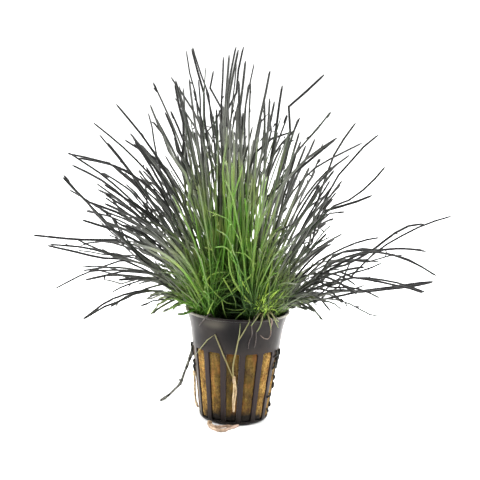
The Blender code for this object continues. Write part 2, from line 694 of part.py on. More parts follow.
def make_roots(occupied):
    make_thread("trailing_root", routed(TRAILING_ROOT), TRAILING_RADIUS, DARK_ROOT, occupied)
    make_thread("surface_root", routed(SURFACE_ROOT), SURFACE_RADIUS, ROOT, occupied)
    make_thread("side_root", wall_route(SIDE_ROOT, SIDE_RADIUS), SIDE_RADIUS, ROOT, occupied)
    over_rim = [RIM_ROOT_START, *wall_route(RIM_ROOT, RIM_ROOT_RADIUS)]
    make_thread("rim_root", over_rim, RIM_ROOT_RADIUS, ROOT, occupied)


def main():
    occupied = Occupied()
    make_pot()
    make_plug()
    make_rim_plantlet(occupied)
    make_hanging_plantlet(occupied)
    make_roots(occupied)
    make_tufts(occupied)


main()
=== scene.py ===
# %% [markdown]
# # Potted dwarf hairgrass
# Dwarf hairgrass is an aquarium plant that is sold in a small slotted pot. A plug of mineral wool
# holds its roots, and hundreds of thin round stems fan out of it. This lesson dresses the packed
# model of the plant, which has the true size and place of every piece, as a photographer would see it.
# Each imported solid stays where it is. A finer piece in the same place is shown for it.

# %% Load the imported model
import math

import bmesh
import bpy
import numpy as np
from mathutils import Matrix, Vector


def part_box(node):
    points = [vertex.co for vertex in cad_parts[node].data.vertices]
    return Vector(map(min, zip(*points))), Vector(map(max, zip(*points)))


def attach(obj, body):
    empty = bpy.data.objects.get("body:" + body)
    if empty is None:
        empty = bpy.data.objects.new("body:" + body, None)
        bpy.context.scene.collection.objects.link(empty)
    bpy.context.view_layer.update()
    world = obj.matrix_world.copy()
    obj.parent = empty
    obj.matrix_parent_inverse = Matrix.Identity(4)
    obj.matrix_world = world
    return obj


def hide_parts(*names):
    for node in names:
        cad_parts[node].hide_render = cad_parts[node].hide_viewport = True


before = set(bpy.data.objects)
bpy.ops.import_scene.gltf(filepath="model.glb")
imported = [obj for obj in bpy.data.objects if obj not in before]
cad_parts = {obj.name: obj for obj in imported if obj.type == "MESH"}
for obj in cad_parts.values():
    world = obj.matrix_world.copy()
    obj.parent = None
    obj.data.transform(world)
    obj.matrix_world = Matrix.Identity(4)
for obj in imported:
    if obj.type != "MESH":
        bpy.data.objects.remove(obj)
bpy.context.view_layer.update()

MM = 0.001

# %% [markdown]
# ## A few tools that every piece uses
# Blender's operators act on whatever is selected, so each piece starts from nothing selected.
# Colours are written as the hex values that a paint program shows, and one function turns them into
# the linear values that Blender's shaders expect. One more function adds a node to a material.

# %% Tools
def deselect():
    bpy.ops.object.select_all(action="DESELECT")


def pick(piece):
    """Selects one piece alone and makes it the one that operators act on."""
    deselect()
    bpy.context.view_layer.objects.active = piece
    piece.select_set(True)


def edit(piece):
    """Opens one piece in edit mode with nothing in it selected."""
    pick(piece)
    bpy.ops.object.mode_set(mode="EDIT")
    bpy.ops.mesh.select_all(action="DESELECT")


def leave_edit():
    bpy.ops.object.mode_set(mode="OBJECT")


def linear(code, alpha=1.0):
    """The linear colour of an sRGB hex code such as 7f8a5c."""
    parts = [int(code[i:i + 2], 16) / 255 for i in (0, 2, 4)]
    return (*[c / 12.92 if c <= 0.04045 else ((c + 0.055) / 1.055) ** 2.4 for c in parts], alpha)


def add_node(tree, kind, settings=None, inputs=None, stops=None):
    """Adds one shader node: its properties, its inputs (a value, or an output to link) and ramp stops."""
    made = tree.nodes.new("ShaderNode" + kind)
    for name, value in (settings or {}).items():
        setattr(made, name, value)
    for socket, value in (inputs or {}).items():
        if isinstance(value, bpy.types.NodeSocket):
            tree.links.new(value, made.inputs[socket])
        else:
            made.inputs[socket].default_value = value
    for index, (place, code) in enumerate(stops or ()):
        ramp = made.color_ramp.elements
        stop = ramp[index] if index < 2 else ramp.new(place)
        stop.position = place
        stop.color = linear(code)
    return made


def new_material(name, constants):
    """An empty Principled material; constants are set on the shader's own sockets."""
    made = bpy.data.materials.new(name)
    made.use_nodes = True
    shader = made.node_tree.nodes["Principled BSDF"]
    for socket, value in constants.items():
        shader.inputs[socket].default_value = value
    return made, made.node_tree, shader


def dress(piece, material, slot, *nodes):
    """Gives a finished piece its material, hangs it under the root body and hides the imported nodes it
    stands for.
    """
    piece.data.materials.clear()
    piece.data.materials.append(material)
    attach(piece, "root")
    if nodes:
        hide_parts(*nodes)
    return piece


# %% [markdown]
# ## Floor, light and camera
# The plant stands on a plain white sweep, as in a product picture, so wide that it fills the frame.
# Two soft lamps stand a little behind the plant, one on each side. They put pale edges on the pot and
# light the outer slots, and its front stays dark. A third hangs above, a wide soft ceiling shines
# straight down, and a dim white sky fills in.
# The camera stands about a metre away, a little above the plant, with a long lens, and it leans
# 2.3 degrees, which is why the pot seems to tip to the right.

# %% Floor
FLOOR_SIZE = 16.0

deselect()
bpy.ops.mesh.primitive_plane_add(size=FLOOR_SIZE, location=(0.0, 0.0, 0.0))
floor = bpy.context.active_object
floor.name = "floor"
paper, _, shader = new_material("white_paper_sweep", {"Roughness": 0.95, "Specular IOR Level": 0.05})
shader.inputs["Base Color"].default_value = linear("fcfcfc")
floor.data.materials.append(paper)

# %% Lamps and sky
LAMPS = {
    "left_softbox": ((-0.80, 0.12, 0.36), 0.5, 13.0),
    "right_softbox": ((0.80, 0.16, 0.36), 0.5, 13.0),
    "top_softbox": ((0.05, -0.05, 1.1), 0.7, 16.0),
}
PLANT_MIDDLE = Vector((0.0, 0.0, 0.09))
SKY_STRENGTH = 0.62
SUN_STRENGTH = 2.1
SUN_WIDTH_DEGREES = 70.0

for name, (place, size, watts) in LAMPS.items():
    lamp = bpy.data.lights.new(name, "AREA")
    lamp.shape = "DISK"
    lamp.size = size
    lamp.energy = watts
    holder = bpy.data.objects.new(name, lamp)
    holder.location = place
    holder.rotation_euler = (PLANT_MIDDLE - Vector(place)).to_track_quat("-Z", "Y").to_euler()
    bpy.context.scene.collection.objects.link(holder)

sun = bpy.data.lights.new("ceiling", "SUN")
sun.energy = SUN_STRENGTH
sun.angle = math.radians(SUN_WIDTH_DEGREES)
bpy.context.scene.collection.objects.link(bpy.data.objects.new("ceiling", sun))

sky = bpy.data.worlds.new("white_studio")
sky.use_nodes = True
sky.node_tree.nodes["Background"].inputs["Color"].default_value = (1.0, 1.0, 1.0, 1.0)
sky.node_tree.nodes["Background"].inputs["Strength"].default_value = SKY_STRENGTH
bpy.context.scene.world = sky
bpy.context.scene.view_settings.view_transform = "Standard"
print(f"{len(LAMPS)} soft lamps and a ceiling")

# %% Camera
CAMERA_PLACE = Vector((-0.2, -955.0, 268.0)) * MM
CAMERA_TARGET = Vector((-0.2, 0.0, 89.0)) * MM
CAMERA_ROLL_DEGREES = 2.3
PICTURE_SIDE = 480
FOCAL_PIXELS = 2003.0
SENSOR_MM = 36.0

eye = bpy.data.cameras.new("product_camera")
eye.sensor_width = SENSOR_MM
eye.lens = SENSOR_MM * FOCAL_PIXELS / PICTURE_SIDE
camera = bpy.data.objects.new("product_camera", eye)
aim = (CAMERA_TARGET - CAMERA_PLACE).to_track_quat("-Z", "Y").to_matrix().to_4x4()
camera.matrix_world = Matrix.Translation(CAMERA_PLACE) @ aim @ Matrix.Rotation(
    math.radians(CAMERA_ROLL_DEGREES), 4, "Z")
bpy.context.scene.collection.objects.link(camera)
bpy.context.scene.camera = camera


def in_space(pixel, depth):
    """The point at this depth behind the pot's axis that the camera sees at a pixel of the picture."""
    across = (pixel[0] - PICTURE_SIDE / 2) / FOCAL_PIXELS
    up = (PICTURE_SIDE / 2 - pixel[1]) / FOCAL_PIXELS
    sight = camera.matrix_world.to_3x3() @ Vector((across, up, -1.0))
    return np.array(CAMERA_PLACE + sight * (depth - CAMERA_PLACE.y) / sight.y)


print(f"lens {eye.lens:.1f} mm")

# %% [markdown]
# ## Drawing up a round body
# A potter pulls a wall up from a disc of clay. The same way works in edit mode: add a disc, extrude
# its face upwards, and scale it to the next radius, again and again. The face that is left at the end
# closes the body, so no pole has to be stitched. The pot, the plug, the stems and the leaves all
# start from this one helper, each with its own outline of radii and heights.

# %% Draw up
def draw_up(name, outline, sides):
    """A closed round body whose rings have these (radius, height) pairs, from the first to the last."""
    radius, height = outline[0]
    deselect()
    bpy.ops.mesh.primitive_circle_add(
        vertices=sides, radius=radius, fill_type="NGON", location=(0.0, 0.0, height))
    body = bpy.context.active_object
    body.name = name
    body.data.name = name
    body.data.transform(Matrix.Translation(body.location))
    body.location = (0.0, 0.0, 0.0)
    edit(body)
    bpy.ops.mesh.select_all(action="SELECT")
    for next_radius, next_height in outline[1:]:
        bpy.ops.mesh.extrude_region_move(
            TRANSFORM_OT_translate={"value": (0.0, 0.0, next_height - height)})
        grow = next_radius / radius
        bpy.ops.transform.resize(value=(grow, grow, 1.0), center_override=(0.0, 0.0, next_height))
        radius, height = next_radius, next_height
    bpy.ops.mesh.select_all(action="SELECT")
    bpy.ops.mesh.normals_make_consistent(inside=False)
    leave_edit()
    return body


def arc(centre, radius, start, end, steps):
    """(radius, height) pairs along a part of a circle, angles in degrees."""
    turns = [math.radians(start + (end - start) * i / steps) for i in range(steps + 1)]
    return [(centre[0] + radius * math.cos(turn), centre[1] + radius * math.sin(turn)) for turn in turns]


def apply_modifiers(piece):
    pick(piece)
    for modifier in list(piece.modifiers):
        bpy.ops.object.modifier_apply(modifier=modifier.name)


def smooth_by_angle(piece, degrees):
    pick(piece)
    bpy.ops.object.shade_smooth_by_angle(angle=math.radians(degrees))


# %% [markdown]
# ## The pot
# Nursery pots like this one are injection moulded from recycled polypropylene. The wall is under a
# millimetre thick, it tapers towards a rounded foot, and its collar flares to a rounded lip. Fourteen
# slots let the water and the roots through. The wall is drawn up on the outside, over the lip and down
# the inside, and then fourteen rounded cutters open the slots with one Boolean.

# %% Pot sizes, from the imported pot
pot_low, pot_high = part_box("pot")
RIM_RADIUS = (pot_high.x - pot_low.x) / 2
POT_HEIGHT = pot_high.z
SHOULDER_HEIGHT = 45.0 * MM
SHOULDER_RADIUS = 22.5 * MM
WALL_TAPER = 4.7 / 35.0
WALL = 0.9 * MM
LIP_RADIUS = 0.65 * MM
FLOOR_THICKNESS = 1.2 * MM
BASE_CORNER = 2.5 * MM
COLLAR_CURVE = 1.25
SLOTS = 14
SLOT_DEGREES = 17.7
SLOT_BOTTOM = 2.0 * MM
SLOT_TOP = 37.0 * MM
FIRST_SLOT_DEGREES = -4.06
POT_SIDES = 168
FOOT_STEPS = 7
WALL_STEPS = 8
COLLAR_STEPS = 6
LIP_STEPS = 10
LIP_START_DEGREES = -35


def wall_radius(height):
    """The pot's outer radius at a height: a straight taper, then the flared collar."""
    if height <= SHOULDER_HEIGHT:
        return SHOULDER_RADIUS - (SHOULDER_HEIGHT - height) * WALL_TAPER
    share = min((height - SHOULDER_HEIGHT) / (POT_HEIGHT - SHOULDER_HEIGHT), 1.0)
    return SHOULDER_RADIUS + (RIM_RADIUS - LIP_RADIUS / 2 - SHOULDER_RADIUS) * share ** COLLAR_CURVE


def wall_heights(low, high, steps):
    return [low + (high - low) * i / steps for i in range(steps + 1)]


def foot_ring(inset, floor_height):
    """The rounded foot: a quarter round from the flat base to the wall."""
    foot = wall_radius(0.0)
    rings = arc((foot - BASE_CORNER, BASE_CORNER), BASE_CORNER - inset, -90, 0, FOOT_STEPS)
    return [(radius + wall_radius(height) - foot, max(height, floor_height)) for radius, height in rings]


print(f"rim {2 * RIM_RADIUS / MM:.1f} mm across, {POT_HEIGHT / MM:.1f} mm tall")

# %% Draw the pot's wall up and over
collar_top = POT_HEIGHT - 2 * LIP_RADIUS
outside = foot_ring(0.0, 0.0)
lower_heights = wall_heights(BASE_CORNER, SHOULDER_HEIGHT, WALL_STEPS)
upper_heights = wall_heights(SHOULDER_HEIGHT, collar_top, COLLAR_STEPS)
outside += [(wall_radius(h), h) for h in lower_heights[1:] + upper_heights[1:]]
lip = arc((RIM_RADIUS - LIP_RADIUS, POT_HEIGHT - LIP_RADIUS), LIP_RADIUS, LIP_START_DEGREES, 180, LIP_STEPS)
inside = [(wall_radius(h) - WALL, h) for h in reversed(lower_heights[:-1] + upper_heights)]
inside += list(reversed(foot_ring(WALL, FLOOR_THICKNESS)))[1:]
pot = draw_up("slotted_pot", outside + lip + inside, POT_SIDES)
print(f"pot wall: {len(pot.data.polygons)} faces")

# %% One rounded cutter, and fourteen copies
SLOT_CORNER = 0.9 * MM
SLOT_CORNER_STEPS = 5
CUTTER_DEPTH = 14.0 * MM

middle_radius = wall_radius((SLOT_TOP + SLOT_BOTTOM) / 2)
half_width = middle_radius * math.tan(math.radians(SLOT_DEGREES / 2))
deselect()
bpy.ops.mesh.primitive_cube_add(size=1.0, location=(0.0, 0.0, 0.0))
cutter = bpy.context.active_object
cutter.data.transform(Matrix.Diagonal((2 * half_width, CUTTER_DEPTH, SLOT_TOP - SLOT_BOTTOM, 1.0)))
edit(cutter)
mesh = bmesh.from_edit_mesh(cutter.data)
for edge in mesh.edges:
    ends = [vert.co for vert in edge.verts]
    edge.select = abs(ends[0].y - ends[1].y) > CUTTER_DEPTH / 2
bmesh.update_edit_mesh(cutter.data)
bpy.ops.mesh.bevel(offset=SLOT_CORNER, segments=SLOT_CORNER_STEPS, affect="EDGES")
leave_edit()
cutter.data.transform(Matrix.Translation((0.0, -middle_radius, (SLOT_TOP + SLOT_BOTTOM) / 2)))
for vert in cutter.data.vertices:
    vert.co.x *= -vert.co.y / middle_radius

copies = [cutter]
for index in range(1, SLOTS):
    copy = cutter.copy()
    copy.data = cutter.data.copy()
    bpy.context.scene.collection.objects.link(copy)
    copies.append(copy)
for index, copy in enumerate(copies):
    turn = math.radians(FIRST_SLOT_DEGREES + index * 360.0 / SLOTS)
    copy.data.transform(Matrix.Rotation(turn, 4, "Z"))
deselect()
for copy in copies:
    copy.select_set(True)
bpy.context.view_layer.objects.active = cutter
bpy.ops.object.join()
edit(cutter)
bpy.ops.mesh.select_all(action="SELECT")
bpy.ops.mesh.normals_make_consistent(inside=False)
leave_edit()

# %% Open the slots and soften the edges
EDGE_ROUND = 0.12 * MM
SHARP_DEGREES = 50.0
SMOOTH_DEGREES = 32.0

cut = pot.modifiers.new("Slots", "BOOLEAN")
cut.operation = "DIFFERENCE"
cut.solver = "EXACT"
cut.object = cutter
apply_modifiers(pot)
bpy.data.objects.remove(cutter, do_unlink=True)
soften = pot.modifiers.new("Soft edges", "BEVEL")
soften.width = EDGE_ROUND
soften.segments = 2
soften.limit_method = "ANGLE"
soften.angle_limit = math.radians(SHARP_DEGREES)
apply_modifiers(pot)
smooth_by_angle(pot, SMOOTH_DEGREES)
print(f"pot: {len(pot.data.polygons)} faces")

# %% [markdown]
# ## Moulded polypropylene
# Used polypropylene has a waxy, dull surface. Its grey is nearly black in itself and has little gloss,
# and a soft sheen brightens it where the eye looks along the wall. Its left and right edges are painted
# pale as a highlight, and a painted highlight lies on the lip's left and right ends. The plastic lets a
# little light through, so the ribs look brown in front of the wool. Painted light shows as a paler patch
# on the collar where the pot is empty behind it, with a painted dark reflection in a band beside it, and
# painted shade darkens the rounded foot. Fine flow marks run up the wall, and a film of lime makes the
# grey uneven.

# %% Pot material
PLASTIC_GRAIN = 0.35 * MM
FLOW_MARKS = 2.5 * MM
LIME_FILM = 9.0 * MM
# Where painted light that shows through the collar sits, and how big it is
PAINTED_LIGHT_PATCH = (-10.5 * MM, -22.5 * MM, 51.6 * MM)
PAINTED_LIGHT_PATCH_SIZE = (9.0 * MM, 10.0 * MM, 3.2 * MM)
# Where the painted dark reflection on the collar sits, and how big it is
PAINTED_DARK_REFLECTION = (-1.5 * MM, -24.0 * MM, 48.0 * MM)
PAINTED_DARK_REFLECTION_SIZE = (8.0 * MM, 20.0 * MM, 12.0 * MM)
WALL_EDGE = SHOULDER_RADIUS - SHOULDER_HEIGHT * WALL_TAPER


def soft_spot(tree, coords, place, size, strength):
    """A soft round spot on the surface: this strength at its middle and nothing at its edge."""
    away = add_node(tree, "VectorMath", {"operation": "SUBTRACT"}, {0: coords.outputs["Object"], 1: place})
    share = add_node(tree, "VectorMath", {"operation": "DIVIDE"}, {0: away.outputs["Vector"], 1: size})
    reach = add_node(tree, "VectorMath", {"operation": "LENGTH"}, {0: share.outputs["Vector"]})
    return add_node(tree, "MapRange", {"interpolation_type": "SMOOTHSTEP"}, {
        "Value": reach.outputs["Value"], "From Min": 0.1, "From Max": 1.2, "To Min": strength, "To Max": 0.0})


plastic, tree, shader = new_material(
    "moulded_polypropylene_dark_grey", {"IOR": 1.49, "Specular IOR Level": 0.08, "Sheen Weight": 0.32,
                                        "Sheen Roughness": 0.22})
coords = add_node(tree, "TexCoord")
parts = add_node(tree, "SeparateXYZ", inputs={"Vector": coords.outputs["Object"]})
stretched = add_node(tree, "Mapping", inputs={
    "Vector": coords.outputs["Object"], "Scale": (1.0, 1.0, 0.16)})
flow = add_node(tree, "TexNoise", inputs={
    "Vector": stretched.outputs["Vector"], "Scale": 1.0 / FLOW_MARKS, "Detail": 3.0, "Roughness": 0.6})
film = add_node(tree, "TexNoise", inputs={
    "Vector": coords.outputs["Object"], "Scale": 1.0 / LIME_FILM, "Detail": 5.0, "Roughness": 0.65})
grain = add_node(tree, "TexNoise", inputs={
    "Vector": coords.outputs["Object"], "Scale": 1.0 / PLASTIC_GRAIN, "Detail": 2.0})
tint = add_node(tree, "ValToRGB", inputs={"Fac": film.outputs["Fac"]}, stops=[
    (0.30, "1c191a"), (0.72, "2d2926")])
aside = add_node(tree, "Math", {"operation": "ABSOLUTE"}, {0: parts.outputs["X"]})
shares = {}
for name, value, low, high, start, end in (
        ("ribs", parts.outputs["Z"], 35.0 * MM, 40.0 * MM, 0.75, 0.0),
        # Painted shade on the rounded foot
        ("foot", parts.outputs["Z"], 1.5 * MM, 8.0 * MM, 1.0, 0.0),
        ("sides", aside.outputs["Value"], 13.0 * MM, 22.0 * MM, 0.0, 0.9),
        ("lip", parts.outputs["Z"], 53.4 * MM, 54.4 * MM, 0.0, 1.0),
        ("roughness", flow.outputs["Fac"], 0.3, 0.7, 0.28, 0.44)):
    shares[name] = add_node(tree, "MapRange", inputs={
        "Value": value, "From Min": low, "From Max": high, "To Min": start, "To Max": end}).outputs["Result"]
untapered = add_node(tree, "Math", {"operation": "MULTIPLY_ADD"}, {
    0: parts.outputs["Z"], 1: -WALL_TAPER, 2: aside.outputs["Value"]})
# Painted highlight: pale edges on the collar's left and right
painted_edge_highlight = add_node(tree, "MapRange", {"interpolation_type": "SMOOTHSTEP"}, {
    "Value": untapered.outputs["Value"], "From Min": WALL_EDGE - 2.6 * MM, "From Max": WALL_EDGE + 0.4 * MM,
    "To Min": 0.0, "To Max": 0.26})
# Painted highlight on the lip's left and right ends
painted_lip_highlight = add_node(tree, "Math", {"operation": "MULTIPLY"}, {0: shares["sides"], 1: shares["lip"]})
# Painted light: a paler patch where light would shine through the empty collar
painted_light_patch = soft_spot(tree, coords, PAINTED_LIGHT_PATCH, PAINTED_LIGHT_PATCH_SIZE, 0.45)
# Painted dark reflection: a near-black band beside the painted light patch
painted_dark_reflection = soft_spot(tree, coords, PAINTED_DARK_REFLECTION, PAINTED_DARK_REFLECTION_SIZE, 0.95)
# Brown ribs, painted shade on the foot, the painted light patch, the painted dark reflection, the painted
# pale edges and the painted lip highlight
skin = tint.outputs["Color"]
for share, code in ((shares["ribs"], "2f2726"), (shares["foot"], "15110d"),
                    (painted_light_patch.outputs["Result"], "5a564c"), (painted_dark_reflection.outputs["Result"], "0a090a"),
                    (painted_edge_highlight.outputs["Result"], "8d8880"), (painted_lip_highlight.outputs["Value"], "908d82")):
    skin = add_node(tree, "Mix", {"data_type": "RGBA"}, {0: share, 6: skin, 7: linear(code)}).outputs[2]
tree.links.new(skin, shader.inputs["Base Color"])
tree.links.new(shares["roughness"], shader.inputs["Roughness"])
ripple = add_node(tree, "Bump", inputs={
    "Height": flow.outputs["Fac"], "Strength": 0.3, "Distance": 0.15 * MM})
fine = add_node(tree, "Bump", inputs={
    "Height": grain.outputs["Fac"], "Strength": 0.15, "Distance": 0.03 * MM,
    "Normal": ripple.outputs["Normal"]})
tree.links.new(fine.outputs["Normal"], shader.inputs["Normal"])
dress(pot, plastic, "pot_plastic", "pot")
print(f"pot wears {plastic.name}")

# %% [markdown]
# ## The mineral wool plug
# Mineral wool is spun from melted rock into a felt of fine, curled fibres. Growers press a plug of it
# into the pot, so it swells a little way into every slot. The plug is drawn up like the pot, pushed out
# where the slots are, and roughened with two sizes of lump. Loose fibres come after that.

# %% Draw up the plug and let it swell into the slots
PLUG_TOP = 48.5 * MM
PLUG_BOTTOM = 1.6 * MM
PLUG_INSET = WALL + 0.25 * MM
SWELL = 0.85 * MM
SWELL_POWER = 8
SWELL_END = 1.6 * MM
WOOL_LUMP = 3.4 * MM
LUMP_DEPTH = 0.45 * MM
WOOL_TUFT = 0.9 * MM
TUFT_DEPTH = 0.30 * MM
UNMOVED_GREY = 0.55
FOOT_CORNER = 0.7 * MM
FOOT_RISE = 0.2 * MM
SIDE_START = 2.8 * MM
TOP_CORNER = 1.0 * MM
SIDE_STEPS = 62
PLUG_SIDES = 210

plug_outline = [(radius * MM, PLUG_BOTTOM) for radius in (0.6, 6.0, 11.0)]
plug_outline.append((wall_radius(PLUG_BOTTOM) - PLUG_INSET - FOOT_CORNER, PLUG_BOTTOM + FOOT_RISE))
side_heights = wall_heights(SIDE_START, PLUG_TOP - TOP_CORNER, SIDE_STEPS)
plug_outline += [(wall_radius(h) - PLUG_INSET, h) for h in side_heights]
edge_radius = plug_outline[-1][0]
for share in (0.96, 0.90, 0.82, 0.74, 0.66, 0.58, 0.5, 0.42, 0.34, 0.26, 0.18, 0.10, 0.04):
    plug_outline.append((edge_radius * share, PLUG_TOP))
plug = draw_up("wool_block", plug_outline, PLUG_SIDES)

for vert in plug.data.vertices:
    reach = math.hypot(vert.co.x, vert.co.y)
    if reach < 1.0 * MM or not SLOT_BOTTOM < vert.co.z < SLOT_TOP:
        continue
    angle = math.degrees(math.atan2(vert.co.x, -vert.co.y))
    place = (angle - FIRST_SLOT_DEGREES) / (360.0 / SLOTS)
    from_middle = abs(place - round(place)) * 360.0 / SLOTS / (SLOT_DEGREES / 2)
    ends = min(vert.co.z - SLOT_BOTTOM, SLOT_TOP - vert.co.z) / SWELL_END
    push = SWELL * max(0.0, 1.0 - from_middle ** SWELL_POWER) * min(1.0, ends)
    vert.co.x *= 1.0 + push / reach
    vert.co.y *= 1.0 + push / reach

for name, size, depth in (("lumps", WOOL_LUMP, LUMP_DEPTH), ("tufts", WOOL_TUFT, TUFT_DEPTH)):
    pattern = bpy.data.textures.new(name, "CLOUDS")
    pattern.noise_scale = size
    pattern.noise_depth = 3
    push = plug.modifiers.new(name, "DISPLACE")
    push.texture = pattern
    push.texture_coords = "LOCAL"
    push.mid_level = UNMOVED_GREY
    push.strength = depth
apply_modifiers(plug)
pick(plug)
bpy.ops.object.shade_smooth()
print(f"plug: {len(plug.data.polygons)} faces")

# %% [markdown]
# ## Bending many copies of one strand
# A single strand is modelled once, upright and one unit tall. Every real strand is that same mesh
# bent along its own line. Moving the points with numpy keeps this quick: a point's height says how
# far along the line it goes, and its distance from the axis says how far to the side.

# %% Smooth lines and bent copies
LINE_POINTS = 25


def normalised(vectors):
    return vectors / np.maximum(np.linalg.norm(vectors, axis=-1, keepdims=True), 1e-12)


def smooth_line(points, count=LINE_POINTS):
    """Evenly spaced points on a smooth curve through all the given ones."""
    points = np.asarray(points, float)
    padded = np.vstack([2 * points[0] - points[1], points, 2 * points[-1] - points[-2]])
    knots = np.concatenate([[0.0], np.cumsum(np.linalg.norm(np.diff(padded, axis=0), axis=1))])
    slopes = (padded[2:] - padded[:-2]) / (knots[2:] - knots[:-2])[:, None]
    knots = knots[1:-1]
    places = np.linspace(knots[0], knots[-1], count)
    piece = np.clip(np.searchsorted(knots, places, side="right") - 1, 0, len(knots) - 2)
    span = knots[piece + 1] - knots[piece]
    u = ((places - knots[piece]) / span)[:, None]
    span = span[:, None]
    return ((1 + 2 * u) * (1 - u) ** 2 * points[piece] + u * (1 - u) ** 2 * span * slopes[piece]
            + u * u * (3 - 2 * u) * points[piece + 1] + u * u * (u - 1) * span * slopes[piece + 1])


def bend_copies(master, lines, widths, sides, flatten=1.0):
    """The master's points along every line. lines is (n, points, 3), widths and sides are per line."""
    place = master[:, 2] * (lines.shape[1] - 1)
    low = np.clip(place.astype(int), 0, lines.shape[1] - 2)
    part = (place - low)[None, :, None]
    centre = lines[:, low] * (1 - part) + lines[:, low + 1] * part
    steps = normalised(np.gradient(lines, axis=1))
    heading = normalised(steps[:, low] * (1 - part) + steps[:, low + 1] * part)
    side = sides[:, None, :]
    across = normalised(side - heading * (side * heading).sum(axis=2, keepdims=True))
    over = np.cross(heading, across)
    width = widths[:, None, None]
    return centre + width * (across * master[None, :, 0:1] + over * master[None, :, 1:2] * flatten)


class Bundle:
    """Bent copies of one or more masters, gathered into one mesh with three values at each point."""

    def __init__(self):
        self.points, self.faces, self.values, self.count = [], [], [], 0

    def add(self, master, lines, widths, sides, age, deep, chance, flatten=1.0):
        """age and deep have a value for every point of every line, chance has one for each line."""
        shape, faces = master
        bent = bend_copies(shape, lines, widths, sides, flatten)
        place = shape[:, 2] * (lines.shape[1] - 1)
        for index in range(len(lines)):
            start = self.count + index * len(shape)
            self.faces.extend([[start + corner for corner in face] for face in faces])
            ages = np.interp(place, np.arange(lines.shape[1]), age[index])
            deeps = np.interp(place, np.arange(lines.shape[1]), deep[index])
            self.values.append(np.column_stack([ages, deeps, np.full(len(shape), chance[index])]))
        self.points.append(bent.reshape(-1, 3))
        self.count += len(lines) * len(shape)

    def to_piece(self, name):
        mesh = bpy.data.meshes.new(name)
        mesh.from_pydata(np.vstack(self.points).tolist(), [], self.faces)
        values = np.vstack(self.values)
        for column, label in enumerate(("age", "deep", "chance")):
            mesh.attributes.new(label, "FLOAT", "POINT").data.foreach_set("value", values[:, column].copy())
        mesh.update()
        piece = bpy.data.objects.new(name, mesh)
        bpy.context.scene.collection.objects.link(piece)
        mesh.shade_smooth()
        return piece


def as_master(body):
    """A drawn-up body as points and faces, and its object is removed."""
    points = np.array([tuple(vert.co) for vert in body.data.vertices])
    faces = [list(face.vertices) for face in body.data.polygons]
    bpy.data.objects.remove(body, do_unlink=True)
    return points, faces


# %% Loose fibres of the plug
FIBRES = 900
FIBRE_RADIUS = 0.10 * MM
FIBRE_POINTS = 9
FIBRES_ON_TOP = 0.16
FIBRE_SPREAD = 0.42
FIBRE_TILT = 0.55
FIBRE_LENGTH_MM = (2.5, 7.0)
FIBRE_CURL_MM = (0.25, 0.9)
FIBRE_MIDDLES = (SLOT_BOTTOM + 2.5 * MM, SLOT_TOP - 1.5 * MM)
FIBRE_ENDS = (SLOT_BOTTOM + 1.0 * MM, SLOT_TOP - 0.8 * MM)
FIBRE_OUT = 0.35 * MM
FIBRE_LIFT = 0.1 * MM
TOP_FIBRES_FROM_MM = 4.0
TOP_FIBRES_BAND_MM = 14.0
rng = np.random.default_rng(4)

fibre_outline = [(0.6, 0.0), (1.0, 0.15), (1.0, 0.4), (1.0, 0.6), (1.0, 0.85), (0.5, 1.0)]
fibre = as_master(draw_up("fibre", fibre_outline, 4))


def fibre_line():
    """One curled fibre that lies on the plug in the middle of a slot, or on the plug's top."""
    on_top = rng.random() < FIBRES_ON_TOP
    slot = rng.integers(SLOTS)
    off_middle = rng.uniform(-FIBRE_SPREAD, FIBRE_SPREAD) * SLOT_DEGREES
    degrees = FIRST_SLOT_DEGREES + slot * 360.0 / SLOTS + off_middle
    height = rng.uniform(*FIBRE_MIDDLES)
    tilt = rng.normal(0.0, FIBRE_TILT)
    length = rng.uniform(*FIBRE_LENGTH_MM) * MM
    curl = rng.uniform(*FIBRE_CURL_MM) * MM
    points = []
    for share in (0.0, 0.25, 0.5, 0.75, 1.0):
        run = (share - 0.5) * length
        bow = curl * math.sin(math.pi * share)
        if on_top:
            turn = tilt * 4.0 + share * 0.9
            reach = (degrees % 1.0) * TOP_FIBRES_BAND_MM * MM + TOP_FIBRES_FROM_MM * MM
            points.append((reach * math.cos(slot + turn * 0.4) + run * math.cos(turn),
                           reach * math.sin(slot + turn * 0.4) + run * math.sin(turn),
                           PLUG_TOP + FIBRE_LIFT + bow))
            continue
        up = min(max(height + run * math.cos(tilt), FIBRE_ENDS[0]), FIBRE_ENDS[1])
        reach = wall_radius(up) - PLUG_INSET + FIBRE_OUT + 0.45 * bow
        angle = math.radians(degrees) + run * math.sin(tilt) / reach * 0.5
        points.append((reach * math.sin(angle), -reach * math.cos(angle), up))
    return smooth_line(points, FIBRE_POINTS)


fibres = Bundle()
lines = np.array([fibre_line() for _ in range(FIBRES)])
fresh = np.zeros((FIBRES, FIBRE_POINTS))
fibres.add(fibre, lines, np.full(FIBRES, FIBRE_RADIUS), normalised(rng.normal(size=(FIBRES, 3))),
           fresh, fresh, rng.random(FIBRES))
loose = fibres.to_piece("wool_fibres")
print(f"fibres: {len(loose.data.polygons)} faces")

# %% [markdown]
# ## The look of mineral wool
# Fresh mineral wool is golden, and at the plug's sides it stays so. At the front, painted shade turns it
# brown to olive in blotches. Painted shade makes the foot almost black, less so at the sides, and silt
# with painted shade darkens the top under the stems. Some of the loose strands are brown dead roots. The
# colour comes from noise at four sizes and from the place on the plug.

# %% Wool material
WOOL_BLOTCH = 3.8 * MM
WOOL_FELT = 0.9 * MM
WOOL_STAIN = 2.4 * MM
FRONT_SHADE_BLOTCH = 4.6 * MM

